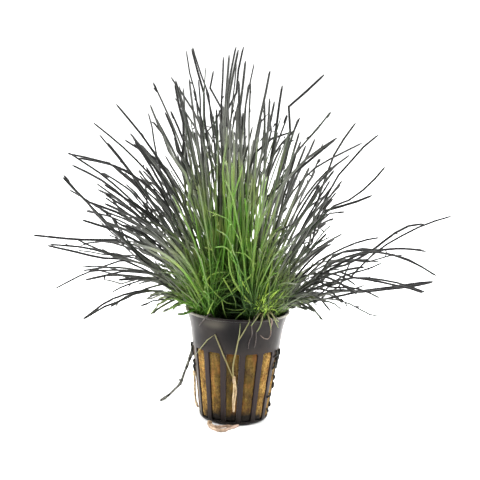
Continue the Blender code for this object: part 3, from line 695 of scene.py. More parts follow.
wool, tree, shader = new_material(
    "spun_mineral_wool_damp", {"Roughness": 0.95, "IOR": 1.5, "Specular IOR Level": 0.25})
coords = add_node(tree, "TexCoord")
parts = add_node(tree, "SeparateXYZ", inputs={"Vector": coords.outputs["Object"]})
streaks = add_node(tree, "Mapping", inputs={"Vector": coords.outputs["Object"], "Scale": (1.0, 1.0, 0.45)})
blotches = add_node(tree, "TexNoise", inputs={
    "Vector": streaks.outputs["Vector"], "Scale": 1.0 / WOOL_BLOTCH, "Detail": 5.0, "Roughness": 0.62})
felt = add_node(tree, "TexNoise", inputs={
    "Vector": coords.outputs["Object"], "Scale": 1.0 / WOOL_FELT, "Detail": 4.0, "Roughness": 0.7,
    "Distortion": 0.6})
base = add_node(tree, "ValToRGB", inputs={"Fac": blotches.outputs["Fac"]}, stops=[
    (0.34, "4a3316"), (0.66, "d6b066"), (0.45, "8f6c34"), (0.55, "bb9550")])
stains = add_node(tree, "TexNoise", inputs={
    "Vector": coords.outputs["Object"], "Scale": 1.0 / WOOL_STAIN, "Detail": 3.0, "Roughness": 0.6})
stain_tint = add_node(tree, "ValToRGB", inputs={"Fac": stains.outputs["Fac"]}, stops=[
    (0.36, "7a5a2e"), (0.66, "8a4a22"), (0.5, "6f6a2c")])
stained = add_node(tree, "Mix", {"data_type": "RGBA"}, {
    0: 0.35, 6: base.outputs["Color"], 7: stain_tint.outputs["Color"]})
speckle = add_node(tree, "ValToRGB", inputs={"Fac": felt.outputs["Fac"]}, stops=[
    (0.34, "4d3f28"), (0.66, "ffffff"), (0.5, "c4b799")])
mottled = add_node(tree, "Mix", {"data_type": "RGBA", "blend_type": "MULTIPLY"}, {
    0: 0.9, 6: stained.outputs[2], 7: speckle.outputs["Color"]})
wobble = add_node(tree, "Math", {"operation": "MULTIPLY_ADD"}, {
    0: blotches.outputs["Fac"], 1: 9.0 * MM, 2: parts.outputs["Z"]})
# Painted shade on the plug's front, in brown to olive blotches
front_shade_blotches = add_node(tree, "TexNoise", inputs={
    "Vector": streaks.outputs["Vector"], "Scale": 1.0 / FRONT_SHADE_BLOTCH, "Detail": 2.0, "Distortion": 0.4})
painted_front_shade = add_node(tree, "ValToRGB", inputs={"Fac": front_shade_blotches.outputs["Fac"]}, stops=[
    (0.36, "191509"), (0.66, "6b451f"), (0.46, "362d0d"), (0.55, "4a3a10")])
aside = add_node(tree, "Math", {"operation": "ABSOLUTE"}, {0: parts.outputs["X"]})
chance = add_node(tree, "Attribute", {"attribute_name": "chance"})
shares = {}
for name, value, low, high, start, end in (
        ("front", parts.outputs["Y"], -17.6 * MM, -12.0 * MM, 0.76, 0.0),
        ("sides", aside.outputs["Value"], 17.6 * MM, 19.4 * MM, 0.0, 0.85),
        ("dead roots", chance.outputs["Fac"], 0.80, 0.86, 0.0, 0.9),
        ("foot shade", wobble.outputs["Value"], 9.5 * MM, 14.0 * MM, 1.0, 0.0),
        ("not aside", aside.outputs["Value"], 12.5 * MM, 14.5 * MM, 1.0, 0.15),
        ("silt and shade", wobble.outputs["Value"], 45.5 * MM, 50.5 * MM, 0.0, 1.0)):
    shares[name] = add_node(tree, "MapRange", inputs={
        "Value": value, "From Min": low, "From Max": high, "To Min": start, "To Max": end}).outputs["Result"]
# Painted shade at the plug's foot, weaker at the lit sides
painted_foot_shade = add_node(tree, "Math", {"operation": "MULTIPLY"}, {0: shares["foot shade"], 1: shares["not aside"]})
skin = mottled.outputs[2]
# Over the mottled wool: painted shade at the front, darker far left and right, dead roots, painted shade at
# the foot, and silt with painted shade on top
for share, over in ((shares["front"], painted_front_shade.outputs["Color"]), (shares["sides"], linear("2c2318")),
                    (shares["dead roots"], linear("4a2c14")), (painted_foot_shade.outputs["Value"], linear("14100a")),
                    (shares["silt and shade"], linear("23210f"))):
    skin = add_node(tree, "Mix", {"data_type": "RGBA"}, {0: share, 6: skin, 7: over}).outputs[2]
tree.links.new(skin, shader.inputs["Base Color"])
pile = add_node(tree, "Bump", inputs={
    "Height": felt.outputs["Fac"], "Strength": 0.9, "Distance": 0.7 * MM})
tree.links.new(pile.outputs["Normal"], shader.inputs["Normal"])
dress(plug, wool, "mineral_wool", "wool_plug")
dress(loose, wool, "mineral_wool")

# %% [markdown]
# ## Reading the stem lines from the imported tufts
# Each packed tuft is a small knot with three-sided needles. A needle's tip is the only kind of point
# with three edges, and going down from it, three points at a time, gives the middle line of the needle
# as far as its knot. Those lines carry the round stems.

# %% Middle lines of a node's strands
def strand_lines(node):
    """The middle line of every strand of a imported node, from its knot to its tip."""
    mesh = bmesh.new()
    mesh.from_mesh(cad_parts[node].data)
    bmesh.ops.remove_doubles(mesh, verts=mesh.verts, dist=0.001 * MM)
    lines = []
    for tip in mesh.verts:
        if len(tip.link_edges) != 3:
            continue
        seen = {tip}
        ring = [tip]
        middles = []
        while ring:
            middles.append(sum((vert.co for vert in ring), Vector()) / len(ring))
            seen.update(ring)
            below = {edge.other_vert(vert) for vert in ring for edge in vert.link_edges} - seen
            ring = list(below) if len(below) == 3 else []
        lines.append([tuple(point) for point in reversed(middles)])
    mesh.free()
    return sorted(lines, key=lambda line: (round(line[-1][0], 5), round(line[-1][2], 5)))


tuft_names = sorted(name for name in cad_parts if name.startswith("tuft_"))
tuft_lines = {name: strand_lines(name) for name in tuft_names}
print(f"{len(tuft_names)} tufts, {sum(len(lines) for lines in tuft_lines.values())} stem lines")

# %% [markdown]
# ## One stem, and its spikelet
# A hairgrass stem is a round green culm about a millimetre thick, with no leaves. It is slimmer at its
# foot and has a blunt end, while a young shoot runs out to a fine point. Some stems end in a slim dark
# spikelet, and dry scraps of sheath cling to others. Each shape has only a few dozen faces,
# because they repeat by the hundred.

# %% Stem and spikelet
CULM_RINGS = 12
CULM_SLIMMEST = 0.68
CULM_SWELL = 0.32
CULM_TURN = 2.2
culm_outline = [(0.6, 0.0)]
culm_outline += [(CULM_SLIMMEST + CULM_SWELL * math.sin(CULM_TURN * ring / CULM_RINGS), ring / CULM_RINGS)
                 for ring in range(1, CULM_RINGS)]
culm_outline += [(0.85, 0.985), (0.4, 1.0)]
culm = as_master(draw_up("culm", culm_outline, 5))
shoot_outline = [(0.8, 0.0), (1.0, 0.12), (1.0, 0.26), (0.98, 0.4), (0.92, 0.54), (0.84, 0.68), (0.7, 0.82),
                 (0.5, 0.93), (0.2, 1.0)]
shoot = as_master(draw_up("shoot", shoot_outline, 5))
spikelet = as_master(draw_up("spikelet", [(0.6, 0.0), (0.95, 0.2), (1.0, 0.5), (0.8, 0.8), (0.3, 1.0)], 5))
print(f"culm {len(culm[1])} faces, shoot {len(shoot[1])} faces, spikelet {len(spikelet[1])} faces")

# %% [markdown]
# ## Stems that are read off the picture
# Most packed stems are plain bows. Some real ones are folded over, cross their neighbours or swing in
# an S, and those give the fan its wild look. Each is drawn here as the picture's pixels that it passes,
# from its tip inwards, with the depth of its tip behind the pot's axis in millimetres. A number after
# that says which of the places is a sharp fold. The camera puts the places in space, and the stem's
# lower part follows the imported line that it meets.

# %% Drawn stems
DRAWN_STEMS = {
    "left_low_arch": (-22, None, (
        (83.6, 319), (106.5, 305.5), (120, 301), (138, 292), (156, 286), (170, 283))),
    "left_cross": (6, None, ((75, 239), (93, 247), (109, 253.5))),
    "left_level": (-6, None, ((33, 236), (74, 239), (101, 240), (122, 241))),
    "left_wave": (18, None, ((47, 246), (76, 252), (103.5, 257), (122, 258.6))),
    "left_sag": (10, None, ((55.5, 288), (81, 275), (101, 267), (118, 261), (125, 259))),
    "left_twig": (-24, None, ((119, 280.5), (142, 279), (165, 281))),
    "left_stub": (-18, None, ((178, 315), (186, 314))),
    "left_curl": (-20, None, ((162, 300), (167, 303), (176, 298.5))),
    "left_hook": (-21, None, ((164, 311), (170, 308), (180, 304))),
    "left_drop": (-14, None, ((150, 314.5), (158, 309), (167, 303.5), (176, 299), (184, 295.5))),
    "left_low_twig": (-6, None, ((169, 309.5), (176, 305), (184, 301))),
    "left_low_second": (8, None, ((158, 300), (167, 297), (178, 293))),
    "left_low_third": (-17, None, ((160, 293.5), (170, 293), (181, 290.5))),
    "upper_left_arch": (14, None, (
        (80, 157), (87, 158), (105, 163), (117, 167), (128, 172), (135, 180), (139, 190))),
    "upper_left_long": (8, None, (
        (70, 189), (79, 193), (88, 201), (102, 209), (114, 215), (126, 219), (138, 226))),
    "upper_left_branch": (36, None, ((110, 199), (117, 208), (125, 218))),
    "upper_left_steep": (-10, None, ((65, 177), (77, 191), (87, 201), (96, 213), (106, 224))),
    "upper_left_second": (-16, None, ((107, 143), (118, 156), (128, 169), (137, 181))),
    "upper_left_bent": (32, None, (
        (125, 139), (131, 144), (140, 149), (149, 156), (155.5, 158), (167, 169))),
    "upper_left_s": (-26, None, ((150, 105), (155.5, 120), (162, 134), (167, 148), (175, 163), (189, 181))),
    "upper_left_scrap": (-24, None, ((153, 121), (161, 124.5))),
    "upper_left_thick": (-14, None, ((174, 136), (172.5, 141), (175, 148), (180.5, 157.5), (189.5, 172))),
    "upper_left_twin": (10, None, ((171, 112), (176, 124.5), (183, 137))),
    "top_left_kink": (4, None, ((193, 49), (197, 65.5), (201, 81), (205, 97), (205, 122))),
    "top_left_twin": (-8, None, ((176, 83), (178, 97), (182, 111), (185, 132))),
    "top_fold": (20, 1, ((213, 71), (210, 88), (220, 106), (225, 116.5))),
    "top_sway": (-4, None, ((237, 47), (234, 57), (231, 76), (228, 101))),
    "top_right_lean": (8, None, ((246, 47), (241, 63.5), (238, 91))),
    "right_long_fold": (4, 3, (
        (326, 75), (322, 79), (307, 93), (290, 107), (288.7, 112), (289, 136))),
    "right_v": (16, 1, ((260, 123), (269.6, 112), (271.5, 123), (270, 140))),
    "right_lower_v": (-6, 1, ((260, 141), (269.6, 130), (275, 123), (277, 137))),
    "right_kink": (-16, 1, ((300, 117.6), (295.4, 131), (290, 137), (277, 152))),
    "right_bow": (-20, None, ((330, 113), (327, 119), (306, 141), (290, 159), (286, 170))),
    "right_thick": (-14, None, ((335.6, 139), (317, 154), (298, 170), (279, 187), (264, 201))),
    "right_sweep": (10, None, (
        (356, 123), (343, 140), (334, 155), (327, 172), (321, 186.5), (315.5, 204), (311, 230), (304, 258))),
    "right_far_sweep": (-8, None, (
        (378, 135), (366, 144), (356, 156), (341, 171), (333, 185), (322, 204), (316, 226), (309, 250))),
    "right_flat": (26, None, ((362, 143), (348, 150), (334, 157), (317, 166), (306, 175))),
    "right_s": (16, None, ((385, 166.5), (373, 180), (358.5, 193), (343, 203), (326, 209.5))),
    "right_under_s": (-26, None, ((372.5, 195.6), (356, 203), (341, 207.5), (325, 212))),
    "right_spur": (36, None, ((344, 212), (332, 213.5), (322, 217))),
    "right_spike": (20, None, ((334, 199), (325, 209.5), (318, 222))),
    "right_wave": (-32, None, ((379.9, 239), (363, 241), (345, 247), (329, 255))),
    "right_longest": (-10, None, (
        (451, 215.7), (424, 224.6), (397, 240), (375, 254), (351, 276), (345, 283))),
    "right_crossing": (12, None, (
        (424, 224.6), (412, 226), (392, 236), (371.5, 251), (347, 264), (329, 269))),
    "right_level": (22, None, ((422, 250), (397, 249), (376, 251), (358, 250), (330, 258))),
    "right_drop": (-4, None, ((435, 276), (419.5, 265), (400.5, 257), (383, 252), (358, 250), (332, 256))),
    "right_low_bow": (8, None, ((433, 282), (408, 287), (380, 290), (358, 292), (331, 290))),
    "right_low_cross": (-18, None, ((423, 294), (406, 287), (380, 281), (352.5, 276.5), (336, 270))),
    "right_hook": (-40, None, ((356, 294), (342.5, 285), (329, 278), (320, 276))),
    "right_drooping": (-24, None, ((322, 320.6), (312, 308), (306, 303), (298, 299))),
    "right_low_twig": (-14, None, ((306, 308.5), (298, 306), (291, 302.5))),
    "right_low_second": (-20, None, ((313, 311), (304, 305), (295, 300.5))),
    "right_low_third": (8, None, ((318, 303.5), (307, 300.5), (297, 297))),
    "right_low_fourth": (-4, None, ((326, 301), (312, 297), (300, 294))),
}
# Bright young blades that cross the dark middle, in front of the other stems: the depth, the radius
# in millimetres and the pixels
FRONT_BLADES = {
    "blade_over_rim": (-24, 0.48, ((228, 252), (230.7, 273.6), (238, 288), (251, 304))),
    "blade_arch": (-22, 0.36, (
        (233, 252), (245, 254), (252, 261), (254, 271), (245, 281.6), (237, 287), (232.5, 291))),
    "blade_left": (-18, 0.32, ((227, 272), (216, 273), (209, 277), (205, 284))),
    "blade_hanging": (-20, 0.32, ((236, 304), (227, 303), (218, 296), (207.5, 284), (203, 276))),
    "blade_steep": (-20, 0.32, ((236, 309), (235, 300), (230, 290), (223, 278))),
    "blade_over_hollow": (-18, 0.32, ((225, 308), (232, 310), (240, 310), (250.5, 308))),
    "blade_left_rim": (-22, 0.32, ((215.5, 298), (211, 306), (207.5, 314))),
    "blade_strand": (-19, 0.32, ((227, 319), (224, 311), (223, 306), (221, 298))),
    "blade_low": (-22, 0.32, ((233.6, 321.6), (239.7, 314.8), (247, 309))),
    "blade_light": (-12, 0.32, ((232, 246), (231, 262), (234, 276), (236, 290))),
    "blade_crown_up": (-22.5, 0.42, ((264.5, 292), (265, 300), (266.5, 310))),
    "blade_crown_left": (-23, 0.36, ((253.5, 304), (258, 306), (263, 311.5))),
    "blade_crown_second": (-22.5, 0.36, ((256, 299), (260, 304), (264, 311))),
    "blade_crown_right": (-21.5, 0.36, ((276, 306.5), (272, 305), (267.5, 310))),
}
CROWNS_PIXEL = (240, 300)
SAME_TIP = 5.0 * MM


def length_of(points):
    return float(np.linalg.norm(np.diff(np.asarray(points), axis=0), axis=1).sum())


def through(points, corner=None):
    """A stem's line through these points, with a sharp fold at one of them if it has a corner."""
    if corner is None:
        return smooth_line(points)
    lower, upper = points[:corner + 1], points[corner:]
    share = length_of(lower) / (length_of(lower) + length_of(upper))
    count = min(max(round(share * LINE_POINTS), 3), LINE_POINTS - 2)
    return np.vstack([smooth_line(lower, count), smooth_line(upper, LINE_POINTS - count + 1)[1:]])


def depth_along(pixels, tip_depth):
    """Each place's depth: the tip's own, and less and less towards the crowns."""
    away = [math.dist(pixel, CROWNS_PIXEL) for pixel in pixels]
    return [tip_depth * MM * reach / away[0] for reach in away]


def add_drawn_stem(lines_of, tip_depth, fold, pixels):
    """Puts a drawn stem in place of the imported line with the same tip, or beside the one it meets."""
    depths = depth_along(pixels, tip_depth)
    drawn = [in_space(pixel, depth) for pixel, depth in zip(pixels, depths)][::-1]
    places = [(name, index) for name, lines in lines_of.items() for index in range(len(lines))]
    tips = np.array([lines_of[name][index][-1] for name, index in places])
    away = np.linalg.norm(tips - drawn[-1], axis=1)
    own = int(away.argmin()) if away.min() < SAME_TIP else None
    if own is None:
        middles = [lines_of[name][index][2:-4] for name, index in places]
        gaps = [np.linalg.norm(middle - drawn[0], axis=1).min() for middle in middles]
        name, index = places[int(np.argmin(gaps))]
    else:
        name, index = places[own]
    line = lines_of[name][index]
    meets = 2 + int(np.linalg.norm(line[2:-4] - drawn[0], axis=1).argmin())
    lower = [line[at] for at in range(0, meets - 1, 2)]
    corner = None if fold is None else len(lower) + len(drawn) - 1 - fold
    made = through(lower + drawn, corner)
    if own is None:
        lines_of[name].append(made)
    else:
        lines_of[name][index] = made


stem_lines = {name: [smooth_line(line) for line in lines] for name, lines in tuft_lines.items()}
for tip_depth, fold, pixels in DRAWN_STEMS.values():
    add_drawn_stem(stem_lines, tip_depth, fold, pixels)
print(f"{sum(len(lines) for lines in stem_lines.values())} long stems after the drawn ones")

# %% [markdown]
# ## Filling the tufts
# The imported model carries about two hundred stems, the ones that give the plant its outline. The real
# plant has several times that number, so long stems get finer companions that start at the same knot
# and run almost beside them. How many, and how long they are, depends on the way that the stem leans, and
# some stems get none. Every knot also gets short young stems that bow any way. The heart of the plant is
# fresh green and its outer tips are dull olive to dark, which one value called age carries to the
# material. A second value, deep, is high between the crowns, where little light comes.

# %% How old each point of a stem looks
GREEN_MIDDLE = -5.0 * MM
GREEN_HALF_WIDTH = 18.5 * MM
GREEN_FOOT = 62.0 * MM
GREEN_HEIGHT = 48.0 * MM
RISE_POWER = 1.3
LOW_RELIEF = 0.17
LOW_REACH = 36.0 * MM
BACK_SHARE = 0.45
FRONT_SHARE = 0.12
FRONT_DROP = 0.5
YOUNG_UNTIL = 0.41
OLD_FROM = 4.4
SHADE_PLACE = np.array((1.5, 0.0, 56.0)) * MM
SHADE_SIZE = np.array((23.0, 60.0, 33.0)) * MM
SHADE_EDGE = 0.55


def ages_along(lines, shift):
    """0 in the green heart of the plant and 1 at its dark outer tips, for every point of the lines."""
    depth = lines[..., 1] * np.where(lines[..., 1] < 0.0, FRONT_SHARE, BACK_SHARE)
    reach = np.hypot(lines[..., 0] - GREEN_MIDDLE, depth) / GREEN_HALF_WIDTH
    seen_height = lines[..., 2] + np.minimum(lines[..., 1], 0.0) * FRONT_DROP
    rise = (np.maximum(seen_height - GREEN_FOOT, 0.0) / GREEN_HEIGHT) ** RISE_POWER
    relief = LOW_RELIEF * np.clip(1.0 - (lines[..., 2] - POT_HEIGHT) / LOW_REACH, 0.0, 1.0)
    away = np.hypot(reach * (1.0 - relief), rise) + shift[:, None]
    return np.clip((away - YOUNG_UNTIL) / (OLD_FROM - YOUNG_UNTIL), 0.0, 1.0)


def deep_along(lines):
    """1 between the crowns, 0 outside, for every point of the lines."""
    away = np.linalg.norm((lines - SHADE_PLACE) / SHADE_SIZE, axis=-1)
    return np.clip((1.0 - away) / SHADE_EDGE, 0.0, 1.0)


# %% Companions and young stems
STEM_RADIUS = 0.57 * MM
COMPANION_RADIUS = 0.44 * MM
YOUNG_RADIUS = 0.25 * MM
FRONT_TIP = -25.0 * MM
FRONT_HALF_WIDTH = 42.0 * MM
FRONT_SLIMNESS = 0.58
FRONT_SHADE = 0.35
# Degrees from upright to the right in the front view, how many companions a stem there has, and the
# share of its length that they reach
COMPANIONS_AT = (
    (-110, 2.2, 1.0), (-80, 1.4, 1.0), (-73, 0.9, 1.0), (-65, 2.6, 0.95), (-60, 2.3, 0.85), (-54, 2.0, 0.75),
    (-48, 2.3, 0.74), (-40, 2.3, 0.76), (-31, 0.7, 0.72), (-22, 0.7, 0.85), (-17, 2.6, 1.0), (-4, 3.4, 1.0),
    (1, 2.0, 0.72), (12, 1.5, 0.62), (20, 0.8, 0.58), (48, 0.4, 0.55), (62, 0.8, 1.0), (75, 0.9, 1.0),
    (84, 2.2, 1.0), (110, 2.2, 1.0))
LOW_FROM = 74.0
LOW_SHARE = 0.72
COMPANIONS_IN_FRONT = 0.4
COMPANION_TRIES = 12
COMPANION_SHORTER = 0.42
COMPANION_POWER = 1.4
COMPANION_START = 0.9 * MM
COMPANION_SWAY = 2.6 * MM
STRAY_SHARE = 0.35
STRAY_DEGREES = 11.0
CLOSE_DEGREES = 4.5
FOLDED_SHARE = 0.07
FOLD_AT = (0.7, 0.92)
FOLD_DEGREES = (20.0, 80.0)
SLOW_WAVES = (3.0, 7.0)
QUICK_WAVES = (9.0, 20.0)
QUICK_SHARE = 0.35
SWAY_POWER = 1.3
FULL_TURN = 6.28
YOUNG_PER_TUFT = 60
YOUNG_TRIES = 14
YOUNG_LENGTH_MM = (8.0, 42.0)
YOUNG_STRAY = 0.8
YOUNG_LIFT = np.array([0.0, 0.0, 0.5])
YOUNG_LEAST_RISE = 0.25
YOUNG_BEND_DEGREES = 80.0
YOUNG_START = 1.8 * MM
YOUNG_SWAY = 0.8 * MM
THINNEST = 0.19 * MM
LIP_ROOM = 1.2 * MM
RIM_RISE = 2.8 * MM
SUNK_FOOT = 2.5 * MM
HOLLOW_PLACE = np.array((-2.0, -16.0, 56.0)) * MM
HOLLOW_RADIUS = 9.0 * MM


def turned_about(vector, axis, angle):
    """A vector turned about a unit axis, both as arrays."""
    return (vector * math.cos(angle) + np.cross(axis, vector) * math.sin(angle)
            + axis * (vector @ axis)[..., None] * (1.0 - math.cos(angle)))


def has_room(line):
    """Whether a line is clear of the pot's wall and lip and of the front hollow, and hangs over no edge."""
    reach = np.hypot(line[:, 0], line[:, 1])
    low = line[:, 2] < POT_HEIGHT + LIP_ROOM
    near_wall = reach > np.array([wall_radius(min(h, POT_HEIGHT)) for h in line[:, 2]]) - WALL - LIP_ROOM
    hangs = (reach > RIM_RADIUS) & (line[:, 2] < POT_HEIGHT + RIM_RISE)
    in_hollow = np.linalg.norm(line[3:] - HOLLOW_PLACE, axis=1).min() < HOLLOW_RADIUS
    clear = not (low & near_wall).any() and not hangs.any() and not in_hollow
    return clear and line[:, 2].min() > PLUG_TOP - SUNK_FOOT


def wavy(line, amount):
    """Sways a line gently from side to side, more towards its tip, with a finer kink on top."""
    share = np.linspace(0.0, 1.0, len(line))
    along = normalised(line[-1] - line[0])
    side = normalised(np.cross(along, rng.normal(size=3)))
    other = np.cross(along, side)
    slow = np.sin(share * rng.uniform(*SLOW_WAVES) + rng.uniform(0.0, FULL_TURN)) * share ** SWAY_POWER
    quick = np.sin(share * rng.uniform(*QUICK_WAVES) + rng.uniform(0.0, FULL_TURN)) * share * QUICK_SHARE
    return line + (side[None, :] * (slow + quick)[:, None] + other[None, :] * quick[::-1, None]) * amount


def folded(line, share, angle):
    """Breaks a line over at a share of its length, as a bruised stem does."""
    at = int(share * (len(line) - 1))
    heading = normalised(line[at + 1] - line[at])
    axis = normalised(np.cross(heading, rng.normal(size=3)))
    line = line.copy()
    line[at:] = line[at] + turned_about(line[at:] - line[at], axis, angle)
    return line


def is_in_front(tips):
    """Which of these stem tips stand before the plant's heart."""
    return (tips[:, 1] < FRONT_TIP) & (np.abs(tips[:, 0]) < FRONT_HALF_WIDTH)


def lean_of(line):
    """How far a stem leans from upright, in degrees."""
    return math.degrees(math.atan2(math.hypot(*line[-1][:2]), line[-1][2] - POT_HEIGHT))


def company_at(line):
    """How many companions a stem has and how far they reach, by its lean in the front view."""
    degrees = math.degrees(math.atan2(line[-1][0], line[-1][2] - POT_HEIGHT))
    places, numbers, reaches = zip(*COMPANIONS_AT)
    return np.interp(degrees, places, numbers), np.interp(degrees, places, reaches)


def companions_of(line):
    """How many companions this stem gets, fewer if it stands in front of the others."""
    share = COMPANIONS_IN_FRONT if is_in_front(line[-1:])[0] else 1.0
    return int(company_at(line)[0] * share + rng.random())


def companion_of(line):
    """A finer stem from the same knot that runs almost beside this one and ends sooner."""
    reach = company_at(line)[1] * (LOW_SHARE if lean_of(line) > LOW_FROM else 1.0)
    for _ in range(COMPANION_TRIES):
        axis = normalised(rng.normal(size=3))
        share = (1.0 - COMPANION_SHORTER * rng.random() ** COMPANION_POWER) * reach
        stray = STRAY_DEGREES if rng.random() < STRAY_SHARE else CLOSE_DEGREES
        moved = turned_about((line - line[0]) * share, axis, math.radians(rng.normal(0.0, stray)))
        start = line[0] + np.append(rng.normal(0.0, COMPANION_START, 2), 0.0)
        made = wavy(start + moved, COMPANION_SWAY)
        if rng.random() < FOLDED_SHARE:
            made = folded(made, rng.uniform(*FOLD_AT), math.radians(rng.uniform(*FOLD_DEGREES)))
        if has_room(made):
            return made
    return None


def young_from(foot, lean):
    """A short young stem that sets off from a knot and bends steadily one way."""
    for _ in range(YOUNG_TRIES):
        length = rng.uniform(*YOUNG_LENGTH_MM) * MM
        heading = normalised(normalised(lean + rng.normal(0.0, YOUNG_STRAY, 3)) + YOUNG_LIFT)
        if heading[2] < YOUNG_LEAST_RISE:
            continue
        axis = normalised(np.cross(heading, rng.normal(size=3)))
        turn = math.radians(rng.normal(0.0, YOUNG_BEND_DEGREES)) / (LINE_POINTS - 1)
        start = foot + np.append(rng.normal(0.0, YOUNG_START, 2), 0.0)
        points = [start]
        for step in range(LINE_POINTS - 1):
            here = turned_about(heading[None, :], axis, turn * step)[0]
            points.append(points[-1] + here * length / (LINE_POINTS - 1))
        made = wavy(np.array(points), YOUNG_SWAY)
        if has_room(made):
            return made
    return None


STEM_WIDTHS = (0.82, 1.2)
SPIKELET_LENGTH_MM = (3.0, 5.5)
SPIKELET_RADIUS_MM = (0.50, 0.72)
SCRAP_LENGTH_MM = (1.0, 3.6)
SCRAP_RADIUS_MM = (0.28, 0.42)
SCRAP_AGE = 0.3
SCRAP_STRAY = 0.4
BEFORE_TIP = 0.85
PAST_TIP = 0.15
SPIKELETS_ON_LONG = 0.14
SPIKELETS_ON_FINE = 0.04
LONG_SWAY = 0.9 * MM
ROOTED_UNDER_TOP = 1.0 * MM


def add_stems(bundle, master, lines, radius, shift, spread):
    """Adds one kind of stem to a bundle, each stem a little thinner or thicker than the next."""
    if not len(lines):
        return
    lines = np.array(lines)
    count = len(lines)
    widths = radius * rng.uniform(*STEM_WIDTHS, count)
    widths = np.maximum(widths * np.where(is_in_front(lines[:, -1]), FRONT_SLIMNESS, 1.0), THINNEST)
    ages = ages_along(lines, shift + rng.normal(0.0, spread, count))
    shade = np.maximum(deep_along(lines), is_in_front(lines[:, -1])[:, None] * FRONT_SHADE)
    bundle.add(master, lines, widths, normalised(rng.normal(size=(count, 3))), ages, shade,
               rng.random(count))


def add_scraps(bundle, lines, share):
    """A spikelet at the tip of a share of the stems, and a dry scrap or two on the way."""
    short, widths = [], []
    for line in lines:
        if rng.random() < share:
            heading = normalised(line[-1] - line[-2])
            length = rng.uniform(*SPIKELET_LENGTH_MM) * MM
            short.append([line[-1] - heading * length * BEFORE_TIP, line[-1] + heading * length * PAST_TIP])
            widths.append(rng.uniform(*SPIKELET_RADIUS_MM) * MM)
        for _ in range(rng.integers(0, 3)):
            at = rng.integers(len(line) // 2, len(line) - 1)
            heading = normalised(normalised(line[at + 1] - line[at]) + rng.normal(0.0, SCRAP_STRAY, 3))
            short.append([line[at], line[at] + heading * rng.uniform(*SCRAP_LENGTH_MM) * MM])
            widths.append(rng.uniform(*SCRAP_RADIUS_MM) * MM)
    if not short:
        return
    short = np.array(short)
    count = len(short)
    bundle.add(spikelet, short, np.array(widths), normalised(rng.normal(size=(count, 3))),
               ages_along(short, np.full(count, SCRAP_AGE)), deep_along(short), rng.random(count))


def dress_tuft(name):
    """All the stems of one tuft as one piece."""
    old = stem_lines[name]
    foot = np.array(tuft_lines[name])[:, 0].mean(axis=0)
    lean = normalised(np.mean([normalised(line[-1] - line[0]) for line in old], axis=0))
    finer = [companion_of(line) for line in old for _ in range(companions_of(line))]
    young = [young_from(foot, lean) for _ in range(YOUNG_PER_TUFT)]
    finer = [line for line in finer if line is not None]
    young = [line for line in young if line is not None]
    bundle = Bundle()
    down = (0, 0, PLUG_TOP - ROOTED_UNDER_TOP)
    rooted = [np.vstack([[line[0] * (1, 1, 0) + down], line[1:]]) for line in old]
    long = [wavy(line, LONG_SWAY) for line in rooted]
    add_stems(bundle, culm, long, STEM_RADIUS, shift=0.0, spread=0.22)
    add_stems(bundle, culm, finer, COMPANION_RADIUS, shift=-0.05, spread=0.25)
    add_stems(bundle, shoot, young, YOUNG_RADIUS, shift=-0.2, spread=0.25)
    add_scraps(bundle, old, SPIKELETS_ON_LONG)
    add_scraps(bundle, finer, SPIKELETS_ON_FINE)
    piece = bundle.to_piece("stems" + name[len("tuft"):])
    dress(piece, grass, "grass", name)
    return len(old) + len(finer) + len(young)


# %% [markdown]
# ## The look of a living stem
# The skin of a hairgrass stem is smooth and a little waxy. Young growth is a clear yellow green, and
# as it ages, silt and fine algae settle on it, so the outer ends turn grey olive and then nearly black.
# Two ramps follow the age value, one for clean stems and one for silted stems, and the chance value
# picks between them, silted more often with age, so that light and dark stems lie side by side. It
# also picks a few of the young ones to be a fresh pale green. Soft patches a centimetre or so across have
# yellowed in the light. The deep value takes all of them down to the dark green between the crowns.

# %% Stem material
STEM_PATCH = 3.0 * MM
SUNNED_PATCH = 12.0 * MM

grass, tree, shader = new_material(
    "hairgrass_culm_waxy_green", {"IOR": 1.42, "Roughness": 0.5, "Specular IOR Level": 0.3})
age = add_node(tree, "Attribute", {"attribute_name": "age"})
chance = add_node(tree, "Attribute", {"attribute_name": "chance"})
deep = add_node(tree, "Attribute", {"attribute_name": "deep"})
coords = add_node(tree, "TexCoord")
patches = add_node(tree, "TexNoise", inputs={
    "Vector": coords.outputs["Object"], "Scale": 1.0 / STEM_PATCH, "Detail": 3.0, "Roughness": 0.6})
uneven = add_node(tree, "Math", {"operation": "MULTIPLY_ADD"}, {
    0: patches.outputs["Fac"], 1: 0.14, 2: age.outputs["Fac"]})
older = add_node(tree, "Math", {"operation": "SUBTRACT"}, {0: uneven.outputs["Value"], 1: 0.07})
clean = add_node(tree, "ValToRGB", inputs={"Fac": older.outputs["Value"]}, stops=[
    (0.0, "4c7c1c"), (1.0, "121211"), (0.06, "628734"), (0.12, "6f864a"), (0.18, "72805a"), (0.25, "6e7264"),
    (0.33, "5e6059"), (0.45, "40413d"), (0.62, "272825")])
silted = add_node(tree, "ValToRGB", inputs={"Fac": older.outputs["Value"]}, stops=[
    (0.0, "355e10"), (1.0, "090909"), (0.07, "40571f"), (0.15, "414c2c"), (0.24, "32362b"), (0.40, "171815")])
settled = add_node(tree, "Math", {"operation": "MULTIPLY_ADD"}, {
    0: older.outputs["Value"], 1: 0.4, 2: chance.outputs["Fac"]})
sunned = add_node(tree, "TexNoise", inputs={
    "Vector": coords.outputs["Object"], "Scale": 1.0 / SUNNED_PATCH, "Detail": 2.0})
fresh_tint = add_node(tree, "ValToRGB", inputs={"Fac": patches.outputs["Fac"]}, stops=[
    (0.35, "628c34"), (0.65, "7d9a4c")])
shares = {}
